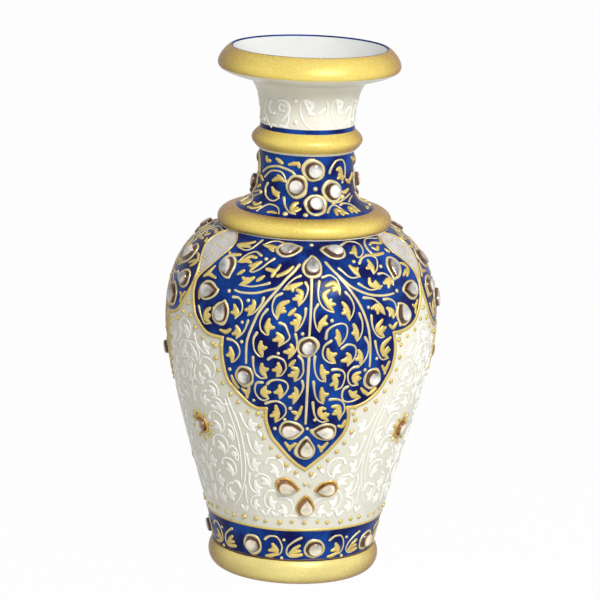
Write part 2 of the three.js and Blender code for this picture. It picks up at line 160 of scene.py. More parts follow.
class Wall:
    """The outside of a turned piece, on which the painter works."""

    def __init__(self, outline):
        self.outline = outline
        self.heights = [height for _, height in outline]

    def at(self, height):
        """Radius of the wall at a height, and how fast the radius grows with height."""
        above = min(max(bisect_right(self.heights, height), 1), len(self.outline) - 1)
        (r0, z0), (r1, z1) = self.outline[above - 1], self.outline[above]
        share = (height - z0) / (z1 - z0)
        return r0 + share * (r1 - r0), (r1 - r0) / (z1 - z0)

    def outward(self, angle, height):
        """The wall's unit normal at an angle in degrees and a height in millimetres."""
        turn = math.radians(angle)
        slope = self.at(height)[1]
        return Vector((math.sin(turn), -math.cos(turn), -slope)).normalized()

    def point(self, angle, height, lift=0.0):
        """The place on the wall at an angle and height, in metres, raised by lift millimetres."""
        turn = math.radians(angle)
        radius = self.at(height)[0]
        spot = Vector((radius * math.sin(turn), -radius * math.cos(turn), height))
        return (spot + lift * self.outward(angle, height)) * MM

    def seat(self, angle, height):
        """A matrix whose x runs round the wall, y up it and z out of it, in metres."""
        turn = math.radians(angle)
        out = self.outward(angle, height)
        along = Vector((math.cos(turn), math.sin(turn), 0.0))
        matrix = Matrix((along, out.cross(along), out)).transposed().to_4x4()
        matrix.translation = self.point(angle, height)
        return matrix

    def shift(self, spot, across, along):
        """A spot (angle, height) moved by millimetres round the wall and up it."""
        angle, height = spot
        radius, slope = self.at(height)
        return angle + math.degrees(across / radius), height + along / math.hypot(1.0, slope)


BODY_WALL = Wall(lower_wall(120) + upper_wall(120)[1:])
NECK_WALL = Wall(neck_wall(80) + [(NECK_RADIUS, NECK_TOP)])
THROAT_WALL = Wall(throat_wall(80))


def length(name, description, millimetres):
    return FloatProperty(name=name, description=description, default=millimetres * MM, unit="LENGTH")


def tint(name, description, *colour):
    return FloatVectorProperty(name=name, description=description, default=colour, subtype="COLOR")


def number(name, description, default, **kind):
    return FloatProperty(name=name, description=description, default=default, **kind)


class VaseSizes(bpy.types.PropertyGroup):
    border_width: length("Border width", "Width of the gold border of a panel", 1.75)
    line_rise: length("Line rise", "How far piped lines stand proud", 0.42)
    enamel_rise: length("Enamel rise", "Thickness of the blue enamel", 0.14)
    dot_size: length("Dot size", "Width of a gold dot", 2.0)
    dot_spacing: length("Dot spacing", "Distance between the dots of a row", 4.6)
    drop_length: length("Drop length", "Length of a pear-shaped stone", 8.0)
    drop_width: length("Drop width", "Width of a pear-shaped stone", 5.6)
    stone_rise: length("Stone rise", "How far a stone stands proud", 2.3)
    paste_rise: length("Paste rise", "Height of the brown paste under a stone", 1.35)
    line_sides: IntProperty(name="Line sides", description="Faces round a piped line", default=6, min=3)


class VaseColours(bpy.types.PropertyGroup):
    marble: tint("Marble", "White of the marble", 0.8, 0.785, 0.67)
    inside: tint("Inside", "Cooler white inside the mouth", 0.75, 0.76, 0.75)
    relief: tint("Relief", "White of the raised lines", 0.96, 0.95, 0.89)
    # Painted shade and reflection: the grey laid over the marble between the panels, under the collar
    wash: tint("Wash", "Grey wash between the panels, under the collar", 0.6, 0.57, 0.56)
    ultramarine: tint("Ultramarine", "Deep blue of the enamel", 0.003, 0.005, 0.075)
    azure: tint("Azure", "Lighter blue where the brush left less", 0.006, 0.055, 0.3)
    gilding: tint("Gilding", "Gold of the rings", 0.8, 0.62, 0.14)
    # Painted reflection: the foot's gold, made paler by light bounced from the floor
    floor_lit_foot_gilding: tint("Foot gilding", "Paler gold of the foot", 0.79, 0.67, 0.24)
    stalk_gold: tint("Stalk gold", "Pale gold of the piped stalks", 0.75, 0.65, 0.36)
    leaf_gold: tint("Leaf gold", "Gold of the piped leaves", 0.73, 0.57, 0.18)
    border_gold: tint("Border gold", "Gold of the borders and dots", 0.71, 0.55, 0.17)
    seam: tint("Seam", "Brown of the painted seam above the foot", 0.2, 0.11, 0.05)
    # The same brown paste as the amber one, painted darker as shade on the blue panels and the neck, between
    # stone and gold line
    paste: tint("Paste", "Dark paste that holds the stones", 0.09, 0.042, 0.022)
    amber: tint("Amber", "Paste that holds the stones on the marble", 0.33, 0.14, 0.038)
    warm_gold: tint("Warm gold", "Gold round the stones on the marble", 0.66, 0.42, 0.1)
    warm_glass: tint("Warm glass", "Yellowed foil of the lower stones", 0.93, 0.84, 0.64)
    glass: tint("Glass", "Silver of the foiled stones", 0.93, 0.9, 0.84)


class VaseStage(bpy.types.PropertyGroup):
    distance: number("Distance", "From the camera to the vase's axis", 1.45, unit="LENGTH")
    elevation: number("Elevation", "How far the camera looks down", math.radians(12.81), subtype="ANGLE")
    azimuth: number("Azimuth", "Where the camera stands round the vase", math.radians(-5.0), subtype="ANGLE")
    roll: number("Roll", "Lean of the camera", math.radians(1.99), subtype="ANGLE")
    lens: number("Lens", "Focal length in millimetres", 200.7)
    key_power: number("Key", "Power of the key lamp", 22.0, unit="POWER")
    fill_power: number("Fill", "Power of the fill lamp", 1.6, unit="POWER")
    sky: number("Sky", "Strength of the surrounding light", 0.38)


def linked(name, data):
    """A new object of the data, in the scene."""
    made = bpy.data.objects.new(name, data)
    bpy.context.scene.collection.objects.link(made)
    return made


def mesh_object(name, vertices, faces, edges=()):
    """A new mesh object at the origin; its vertices are in metres."""
    mesh = bpy.data.meshes.new(name)
    mesh.from_pydata([tuple(v) for v in vertices], list(edges), faces)
    mesh.update()
    return linked(name, mesh)


def smooth(piece, angle=40):
    """Smooth shading, with edges sharper than the angle in degrees kept crisp."""
    piece.data.shade_smooth()
    piece.data.set_sharp_from_angle(angle=math.radians(angle))
    return piece


def place(piece, finishes=(), nodes=()):
    """Gives a piece its materials and tells the frame its body and the CAD nodes it replaces."""
    for finish in finishes:
        piece.data.materials.append(finish)
    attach(piece, BODY)
    if nodes:
        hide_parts(*nodes)
    return piece


def revolve(name, outline):
    """A smooth turned piece from its closed outline of (radius, height), outside first from the foot up."""
    vertices = []
    rings = []
    for radius, height in outline:
        count = TURNED_SIDES if radius else 1
        rings.append(range(len(vertices), len(vertices) + count))
        for side in range(count):
            turn = 2 * math.pi * side / TURNED_SIDES
            vertices.append((radius * math.cos(turn) * MM, radius * math.sin(turn) * MM, height * MM))
    faces = []
    for low, high in zip(rings, rings[1:] + (rings[:1] if len(rings[0]) > 1 else [])):
        for side in range(TURNED_SIDES):
            after = (side + 1) % TURNED_SIDES
            corners = [low[i % len(low)] for i in (side, after)]
            corners += [high[i % len(high)] for i in (after, side)]
            faces.append(tuple(dict.fromkeys(corners)))
    return smooth(mesh_object(name, vertices, faces))


def foot_outline():
    side = bezier(
        (FOOT_CONTACT_RADIUS, 0.0), (FOOT_RADIUS + 0.8, 0.2 * FOOT_TOP),
        (FOOT_RADIUS + 0.8, 0.75 * FOOT_TOP), (BASE_RADIUS + 0.4, FOOT_TOP), 28)
    socket_floor = FOOT_TOP - FOOT_SOCKET_DEPTH
    return [
        (0.0, 0.0), *side,
        (FOOT_SOCKET_RADIUS, FOOT_TOP), (FOOT_SOCKET_RADIUS, socket_floor), (0.0, socket_floor)]


def body_outline():
    inner_belly = BELLY_RADIUS - WALL_THICKNESS
    inner_base = BASE_RADIUS - WALL_THICKNESS
    floor = BODY_BOTTOM + FLOOR_THICKNESS
    ceiling = SHOULDER - CEILING_THICKNESS
    spigot_end = BODY_BOTTOM - FOOT_SPIGOT_LENGTH
    socket_floor = SHOULDER - NECK_SOCKET_DEPTH
    inner_upper = bezier(
        (BORE_RADIUS, ceiling), (BORE_RADIUS + 0.62 * (inner_belly - BORE_RADIUS), ceiling),
        (inner_belly, BELLY_Z + 0.153 * BODY_HEIGHT), (inner_belly, BELLY_Z), 24)
    inner_lower = bezier(
        (inner_belly, BELLY_Z), (inner_belly, BELLY_Z - 0.2 * BODY_HEIGHT),
        (inner_base + 3.5, floor + 0.13 * BODY_HEIGHT), (inner_base, floor + 4.0), 24)
    return [
        (0.0, spigot_end), (FOOT_SPIGOT_RADIUS, spigot_end), (FOOT_SPIGOT_RADIUS, BODY_BOTTOM),
        *lower_wall(72), *upper_wall(56)[1:],
        (NECK_SOCKET_RADIUS, SHOULDER), (NECK_SOCKET_RADIUS, socket_floor), (BORE_RADIUS, socket_floor),
        *inner_upper, *inner_lower[1:], (inner_base - 4.0, floor), (0.0, floor)]


def collar_outline():
    seat = SHOULDER + CEMENT
    height = COLLAR_TOP - SHOULDER
    side = bezier(
        (SHOULDER_RADIUS, seat), (COLLAR_RADIUS + 1.1, seat + 0.106 * height),
        (COLLAR_RADIUS + 1.1, seat + height),
        (NECK_WALL.at(COLLAR_TOP + COLLAR_LAP)[0] - 0.1, COLLAR_TOP + COLLAR_LAP), 28)
    return [(NECK_SOCKET_RADIUS, seat), *side, (NECK_SOCKET_RADIUS, COLLAR_TOP)]


def cement_outline():
    """The thin line of cement that shows between the shoulder and the collar."""
    rise = ((35.0, -0.2), (36.3, -0.15), (36.5, 0.15), (36.3, 0.4), (35.0, 0.4))
    return [(radius, SHOULDER + height) for radius, height in rise]


def neck_outline():
    spigot_end = SHOULDER - NECK_SPIGOT_LENGTH
    socket_floor = NECK_TOP - MOUTH_SOCKET_DEPTH
    return [
        (BORE_RADIUS, spigot_end), (NECK_SPIGOT_RADIUS, spigot_end),
        (NECK_SPIGOT_RADIUS, COLLAR_TOP + PAINTED_JOINT), *neck_wall(60), (NECK_RADIUS, NECK_TOP),
        (MOUTH_SOCKET_RADIUS, NECK_TOP), (MOUTH_SOCKET_RADIUS, socket_floor), (BORE_RADIUS, socket_floor)]


def mouth_outline():
    seat = NECK_TOP + CEMENT
    spigot_end = NECK_TOP - MOUTH_SPIGOT_LENGTH
    ring = bezier(
        (NECK_RADIUS + CEMENT, seat), (RING_RADIUS + 1.1, seat + 0.46 * RING_HEIGHT),
        (RING_RADIUS + 1.1, seat + 0.56 * RING_HEIGHT), (NECK_RADIUS, RING_TOP), 44)
    waist = THROAT_TOP + 0.468 * RIM_HEIGHT
    reach = RIM_RADIUS - UNDER_RIM_RADIUS
    underside = bezier(
        (UNDER_RIM_RADIUS, THROAT_TOP), (UNDER_RIM_RADIUS + 0.895 * reach, THROAT_TOP + 0.203 * RIM_HEIGHT),
        (RIM_RADIUS, waist - 0.161 * RIM_HEIGHT), (RIM_RADIUS, waist), 36)
    crest = bezier(
        (RIM_RADIUS, waist), (RIM_RADIUS, waist + 0.211 * RIM_HEIGHT),
        (CREST_RADIUS + 1.44, RIM_TOP), (CREST_RADIUS, RIM_TOP), 30)
    funnel = bezier(
        (CREST_RADIUS, RIM_TOP), (CREST_RADIUS - 5.0, RIM_TOP - 0.45 * RIM_HEIGHT),
        (BORE_RADIUS, RING_TOP + 0.95 * THROAT_HEIGHT), (BORE_RADIUS, RING_TOP + 0.2 * THROAT_HEIGHT), 30)
    return [
        (BORE_RADIUS, spigot_end), (MOUTH_SPIGOT_RADIUS, spigot_end), (MOUTH_SPIGOT_RADIUS, seat),
        *ring, *throat_wall(60)[1:], *underside[1:], *crest[1:], *funnel[1:]]


class Nodes:
    """A node tree with short calls for adding and joining nodes."""

    def __init__(self, tree):
        self.tree = tree

    def add(self, kind, settings=None, **inputs):
        node = self.tree.nodes.new(kind)
        for key, setting in (settings or {}).items():
            setattr(node, key, setting)
        self.feed(node, **inputs)
        return node

    def feed(self, node, *values, **inputs):
        """Gives a node's inputs, by order or by name, a number, a socket or another node's first output."""
        keyed = list(enumerate(values)) + [(key.replace("_", " "), item) for key, item in inputs.items()]
        for key, item in keyed:
            if isinstance(item, bpy.types.Node):
                item = item.outputs[0]
            if isinstance(item, bpy.types.NodeSocket):
                self.tree.links.new(item, node.inputs[key])
            else:
                node.inputs[key].default_value = item

    def math(self, operation, *values, kind="ShaderNodeMath", result=0):
        node = self.add(kind, {"operation": operation})
        self.feed(node, *values)
        return node.outputs[result]

    def vector(self, operation, *values, result=0):
        return self.math(operation, *values, kind="ShaderNodeVectorMath", result=result)

    def mix(self, factor, *colours):
        """A colour between two, each given as three numbers or a socket."""
        node = self.add("ShaderNodeMix", {"data_type": "RGBA"})
        self.feed(node, factor)
        sockets = [socket for socket in node.inputs if socket.type == "RGBA"]
        for socket, colour in zip(sockets, colours):
            if isinstance(colour, bpy.types.NodeSocket):
                self.tree.links.new(colour, socket)
            else:
                socket.default_value = (*colour, 1.0)
        return next(socket for socket in node.outputs if socket.type == "RGBA")

    def ramp(self, height, low, high):
        """A soft step from 0 to 1 between two values."""
        smoothly = {"interpolation_type": "SMOOTHSTEP"}
        node = self.add("ShaderNodeMapRange", smoothly, Value=height, From_Min=low, From_Max=high)
        return node.outputs["Result"]

    def turned_away(self, blend, low, high):
        """0 where the surface faces the eye, and a soft step up to 1 at its outline."""
        return self.ramp(self.add("ShaderNodeLayerWeight", Blend=blend).outputs["Facing"], low, high)

    def own_place(self):
        return self.add("ShaderNodeTexCoord").outputs["Object"]

    def read(self, attribute, kind="FLOAT"):
        node = self.add("GeometryNodeInputNamedAttribute", {"data_type": kind}, Name=attribute)
        return node.outputs["Attribute"]


def shared_tree(name, kind, inputs, outputs, fill):
    """A node group, made when first asked for; its sockets are given as (label, type, default or None)."""
    if name in bpy.data.node_groups:
        return bpy.data.node_groups[name]
    tree = bpy.data.node_groups.new(name, kind)
    for way, sockets in (("INPUT", inputs), ("OUTPUT", outputs)):
        for label, socket_type, default in sockets:
            socket = tree.interface.new_socket(label, in_out=way, socket_type="NodeSocket" + socket_type)
            if default is not None:
                socket.default_value = default
    nodes = Nodes(tree)
    fill(nodes, nodes.add("NodeGroupInput").outputs, nodes.add("NodeGroupOutput"))
    return tree


def cloud_group():
    """Soft clouds and fine grain in the surface's own place, for every finish."""
    inputs = (("Cloud size", "Float", 60.0), ("Grain size", "Float", 900.0), ("Stretch", "Float", 1.0))
    outputs = [(label, "Float", None) for label in ("Clouds", "Grain", "Height")]

    def fill(nodes, given, end):
        scale = nodes.add("ShaderNodeCombineXYZ", X=1.0, Y=1.0, Z=given["Stretch"])
        where = nodes.vector("MULTIPLY", nodes.own_place(), scale)
        cloud, grain = [
            nodes.add("ShaderNodeTexNoise", Vector=where, Scale=given[size], Detail=detail, Roughness=rough)
            for size, detail, rough in (("Cloud size", 4.0, 0.55), ("Grain size", 2.0, 0.6))]
        height = nodes.math("ADD", nodes.math("MULTIPLY", cloud, 0.6), grain)
        nodes.feed(end, nodes.ramp(cloud, 0.38, 0.66), nodes.ramp(grain, 0.42, 0.68), height)

    return shared_tree("Clouds and grain", "ShaderNodeTree", inputs, outputs, fill)


def material(name):
    """A new material with a bare Principled shader, its nodes and the shader."""
    made = bpy.data.materials.new(name)
    made.use_nodes = True
    return made, Nodes(made.node_tree), made.node_tree.nodes["Principled BSDF"]


def toned(colour, *shares):
    """A colour times one share, or times a share for each of its three numbers."""
    return tuple(share * c for share, c in zip(shares * (3 // len(shares)), colour))


class Finish:
    """A material with clouds and grain in it."""

    def __init__(self, name, cloud_size, grain_size, stretch=1.0):
        self.material, self.nodes, self.shader = material(name)
        cloud = self.nodes.add(
            "ShaderNodeGroup", {"node_tree": cloud_group()},
            Cloud_size=cloud_size, Grain_size=grain_size, Stretch=stretch)
        self.clouds, self.grain, self.height = cloud.outputs

    def mottle(self, colour, shade):
        return self.nodes.mix(self.clouds, tuple(colour), tuple(shade))

    def painted_edge_shade(self, tone, low, high, share, colour):
        """The tone, with a share of a darker colour laid on as painted shade where the surface turns away
        from the eye.
        """
        edge = self.nodes.math("MULTIPLY", self.nodes.turned_away(0.4, low, high), share)
        return self.nodes.mix(edge, tone, colour)

    def made(self, tone, depth=0.0, strength=1.0, **inputs):
        """The material with its tone, the shader's inputs and a bump of a depth in millimetres."""
        self.nodes.feed(self.shader, Base_Color=tone, **inputs)
        if depth:
            bump = {"Height": self.height, "Distance": depth * MM, "Strength": strength}
            self.nodes.feed(self.shader, Normal=self.nodes.add("ShaderNodeBump", **bump))
        return self.material


def marble_material(name, colour):
    finish = Finish(name, cloud_size=26.0, grain_size=420.0, stretch=0.6)
    tone = finish.mottle(colour, toned(colour, 0.93))
    # Painted shade: the marble is darker towards its outline, where it turns away from the eye
    tone = finish.painted_edge_shade(tone, low=0.35, high=1.0, share=0.5, colour=toned(colour, 0.6))
    return finish.made(
        tone, depth=0.03, strength=0.5, Roughness=0.28, Specular_IOR_Level=0.3, Subsurface_Weight=0.25,
        Subsurface_Radius=(1.0, 0.9, 0.75), Subsurface_Scale=3 * MM)


def relief_material(colours):
    finish = Finish("white_relief", cloud_size=120.0, grain_size=1500.0)
    tone = finish.mottle(colours.relief, toned(colours.relief, 0.95))
    return finish.made(tone, depth=0.04, strength=0.6, Roughness=0.38)


def spandrel_shade_material(colours):
    """A thin grey sheet of painted shade and reflection over the marble between the panels, under the
    collar.
    """
    finish = Finish("grey_wash", cloud_size=160.0, grain_size=900.0)
    tone = finish.mottle(colours.wash, (0.5, 0.47, 0.45))
    return finish.made(tone, depth=0.05, strength=0.5, Roughness=0.25)


def enamel_material(colours):
    finish = Finish("blue_enamel", cloud_size=75.0, grain_size=700.0, stretch=0.7)
    tone = finish.mottle(colours.ultramarine, colours.azure)
    return finish.made(
        tone, depth=0.09, strength=0.7, Roughness=0.3, Specular_IOR_Level=0.05, Coat_Weight=0.06,
        Coat_Roughness=0.08)


def gilding_material(name, colour):
    """Gold paint with light grain, painted brown shade where it turns away from the eye, and bright specks:
    its flakes, lightened as painted glints.
    """
    finish = Finish(name, cloud_size=40.0, grain_size=1900.0, stretch=3.0)
    nodes, grain = finish.nodes, finish.grain
    light = tuple(min(1.0, 1.1 * c + 0.03) for c in colour)
    tone = nodes.mix(nodes.math("MULTIPLY", grain, 0.45), finish.mottle(colour, toned(colour, 0.84)), light)
    # Painted shade: brown towards the outline, where the gold turns away from the eye
    tone = finish.painted_edge_shade(tone, low=0.08, high=0.8, share=0.95, colour=(0.29, 0.13, 0.015))
    # Bright specks: the paint's flakes, lightened as painted glints
    tone = nodes.mix(nodes.ramp(grain, 0.93, 1.0), tone, (1.0, 0.93, 0.62))
    return finish.made(
        tone, depth=0.03, strength=0.18, Metallic=0.15, Specular_IOR_Level=0.16,
        Roughness=nodes.math("MULTIPLY_ADD", grain, -0.1, 0.4))


def piped_material(name, colour):
    """Gold paste, piped in one colour, with painted shade where the line turns away from the eye."""
    if name in bpy.data.materials:
        return bpy.data.materials[name]
    finish = Finish(name, cloud_size=150.0, grain_size=1400.0)
    tone = finish.mottle(colour, toned(colour, 0.82))
    # Painted shade: darker and browner towards the line's outline
    tone = finish.painted_edge_shade(tone, low=0.15, high=0.85, share=0.85, colour=toned(colour, 0.5, 0.36, 0.25))
    return finish.made(tone, depth=0.04, strength=0.6, Metallic=0.3, Specular_IOR_Level=0.3, Roughness=0.36)


def paste_material(name, colour):
    finish = Finish(name, cloud_size=300.0, grain_size=2500.0)
    tone = finish.mottle(colour, toned(colour, 0.45))
    return finish.made(tone, depth=0.05, strength=0.6, Roughness=0.3, Coat_Weight=0.15)


def glass_material(colours):
    """Glass over foil: between dark grey and its foil as its gleam of painted reflection and shade says,
    yellowed on the low stones, and brown at the girdle and towards its outline.
    """
    finish = Finish("foiled_glass", cloud_size=260.0, grain_size=900.0)
    nodes = finish.nodes
    gleam, girdle = [
        nodes.add("ShaderNodeAttribute", {"attribute_name": name}).outputs["Fac"]
        for name in ("gleam", "girdle")]
    cloudy = nodes.math("SUBTRACT", gleam, nodes.math("MULTIPLY", finish.clouds, 0.25))
    # Brown at the girdle and where the glass turns away from the eye
    brown_edge = nodes.math("MAXIMUM", nodes.turned_away(0.35, 0.3, 1.0), nodes.math("MULTIPLY", girdle, 0.85))
    height = nodes.add("ShaderNodeSeparateXYZ", Vector=nodes.own_place()).outputs["Z"]
    foil = nodes.mix(nodes.ramp(height, 0.055, 0.09), tuple(colours.warm_glass), tuple(colours.glass))
    # Painted reflection and shade: dark grey where the gleam is low, the foil's colour where it is high
    tone = nodes.mix(nodes.ramp(cloudy, 0.0, 1.0), (0.12, 0.125, 0.12), foil)
    tone = nodes.mix(brown_edge, tone, (0.27, 0.11, 0.05))
    return finish.made(tone, Metallic=0.12, Roughness=0.2, Coat_Weight=0.5, Coat_Roughness=0.05)


def growing_tree(name, inputs, build):
    """A shared geometry tree that ends in smooth shading, real geometry and the material."""
    def fill(nodes, given, end):
        shaded = nodes.add("GeometryNodeSetShadeSmooth", Geometry=build(nodes, given))
        solid = nodes.add("GeometryNodeRealizeInstances", Geometry=shaded)
        nodes.feed(end, nodes.add("GeometryNodeSetMaterial", Geometry=solid, Material=given["Material"]))

    geometry = ("Geometry", "Geometry", None)
    inputs = (geometry, *inputs, ("Material", "Material", None))
    return shared_tree(name, "GeometryNodeTree", inputs, [geometry], fill)


def piped_line_tree():
    """Lines of paste along paths on a wall, each as wide and as proud as its points say."""
    def build(nodes, given):
        path = nodes.add("GeometryNodeMeshToCurve", Mesh=given["Geometry"])
        circle = nodes.add("GeometryNodeCurvePrimitiveCircle", Resolution=given["Sides"], Radius=1.0)
        half_width = nodes.read("half_width")
        tube = nodes.add(
            "GeometryNodeCurveToMesh", Curve=path, Profile_Curve=circle, Scale=half_width, Fill_Caps=True)
        outward = nodes.read("outward", "FLOAT_VECTOR")
        position = nodes.add("GeometryNodeInputPosition")
        radius = nodes.vector("SUBTRACT", position, nodes.read("centre", "FLOAT_VECTOR"))
        proud = nodes.vector("DOT_PRODUCT", radius, outward, result="Value")
        share = nodes.math("DIVIDE", nodes.read("rise"), nodes.math("MAXIMUM", half_width, 0.01 * MM))
        flattening = nodes.math("MULTIPLY", proud, nodes.math("SUBTRACT", share, 1.0))
        offset = nodes.add("ShaderNodeVectorMath", {"operation": "SCALE"}, Vector=outward, Scale=flattening)
        return nodes.add("GeometryNodeSetPosition", Geometry=tube, Offset=offset)

    return growing_tree("Piped lines", [("Sides", "Int", 6)], build)


def bead_tree():
    """A bead on each point, turned to stand out of the wall and scaled unevenly by the point's size."""
    inputs = (("Bead", "Object", None), ("Unevenness", "Float", 0.16), ("Seed", "Int", 5))

    def build(nodes, given):
        bead = nodes.add("GeometryNodeObjectInfo", Object=given["Bead"])
        outward = nodes.read("outward", "FLOAT_VECTOR")
        turn = nodes.add("FunctionNodeAlignRotationToVector", {"axis": "Z"}, Vector=outward)
        chance = nodes.add("FunctionNodeRandomValue", {"data_type": "FLOAT"}, Seed=given["Seed"])
        numbers = [socket for socket in chance.inputs if socket.type == "VALUE"]
        for operation, socket in zip(("SUBTRACT", "ADD"), numbers):
            nodes.tree.links.new(nodes.math(operation, 1.0, given["Unevenness"]), socket)
        chosen = next(socket for socket in chance.outputs if socket.type == "VALUE")
        size = nodes.math("MULTIPLY", nodes.read("size"), chosen)
        return nodes.add(
            "GeometryNodeInstanceOnPoints", Points=given["Geometry"], Instance=bead.outputs["Geometry"],
            Rotation=turn, Scale=size)

    return growing_tree("Beads", inputs, build)


def grow(name, source, tree, values):
    """Runs a geometry node tree on a source object and returns the plain mesh object that it makes."""
    modifier = source.modifiers.new(tree.name, "NODES")
    modifier.node_group = tree
    for item in tree.interface.items_tree:
        if item.item_type == "SOCKET" and item.in_out == "INPUT" and item.name in values:
            modifier[item.identifier] = values[item.name]
    bpy.context.view_layer.update()
    evaluated = source.evaluated_get(bpy.context.evaluated_depsgraph_get())
    mesh = bpy.data.meshes.new_from_object(evaluated)
    mesh.name = name
    bpy.data.objects.remove(source)
    for attribute in ("half_width", "outward", "centre", "rise", "size"):
        if attribute in mesh.attributes:
            mesh.attributes.remove(mesh.attributes[attribute])
    return linked(name, mesh)


def add_attribute(piece, name, values):
    """Stores a number or a vector for each vertex."""
    if isinstance(values[0], Vector):
        attribute = piece.data.attributes.new(name, "FLOAT_VECTOR", "POINT")
        attribute.data.foreach_set("vector", [c for item in values for c in item])
    else:
        attribute = piece.data.attributes.new(name, "FLOAT", "POINT")
        attribute.data.foreach_set("value", values)


def stroke(words):
    """The places of a stroke, written as degrees and millimetres: "angle height, angle height"."""
    return [tuple(float(number) for number in pair.split()) for pair in words.split(",")]


def catmull(points, step):
    """A smooth path through points, with a sample about every step."""
    if len(points) == 2:
        points = [points[0], tuple((a + b) / 2 for a, b in zip(*points)), points[1]]
    path = []
    for index in range(len(points) - 1):
        p1, p2 = points[index], points[index + 1]
        p0 = points[index - 1] if index else tuple(2 * a - b for a, b in zip(p1, p2))
        p3 = points[index + 2] if index + 2 < len(points) else tuple(2 * b - a for a, b in zip(p1, p2))
        count = max(2, round(math.dist(p1[:2], p2[:2]) / step))
        for sample in range(count):
            t = sample / count
            path.append(tuple(
                0.5 * (2 * b + (c - a) * t + (2 * a - 5 * b + 4 * c - d) * t * t
                       + (3 * b - a - 3 * c + d) * t ** 3)
                for a, b, c, d in zip(p0, p1, p2, p3)))
    path.append(tuple(points[-1]))
    return path


class Piping:
    """Collects piped lines on walls and turns them into one mesh."""

    LEAST_HALF_WIDTH = 0.02
    RISE_PER_HALF_WIDTH = 1.15
    CAP = ((0.45, 0.87), (0.8, 0.58), (1.0, 0.12))

    def __init__(self, rise):
        self.rise = rise
        self.points = []
        self.edges = []

    def line(self, wall, path, closed=False, rise=None):
        """Adds a line through (angle, height, half width) points; the half width is in millimetres."""
        first = len(self.points)
        rise = self.rise if rise is None else rise
        for angle, height, half_width in path if closed else self.rounded(wall, path):
            half = max(half_width, self.LEAST_HALF_WIDTH)
            proud = min(rise, self.RISE_PER_HALF_WIDTH * half)
            where = (angle, height)
            self.points.append((wall.point(*where), wall.outward(*where), half * MM, proud * MM))
        last = len(self.points) - 1
        self.edges += [(i, i + 1) for i in range(first, last)]
        if closed:
            self.edges.append((last, first))

    def rounded(self, wall, path):
        """The path with round ends: further points past both ends, ever narrower."""
        ends = []
        for end, before in ((path[0], path[1]), (path[-1], path[-2])):
            radius, slope = wall.at(end[1])
            across = math.radians(end[0] - before[0]) * radius
            along = (end[1] - before[1]) * math.hypot(1.0, slope)
            far = math.hypot(across, along) or 1.0
            cap = []
            for reach, share in self.CAP:
                step = reach * end[2] / far
                cap.append((*wall.shift(end[:2], across * step, along * step), share * end[2]))
            ends.append(cap)
        return ends[0][::-1] + list(path) + ends[1]

    def piece(self, name, finish, sides):
        places, outward, half_widths, rises = zip(*self.points)
        source = mesh_object(name + "_paths", places, [], self.edges)
        add_attribute(source, "outward", outward)
        add_attribute(source, "centre", places)
        add_attribute(source, "half_width", half_widths)
        add_attribute(source, "rise", rises)
        return grow(name, source, piped_line_tree(), {"Sides": sides, "Material": finish})


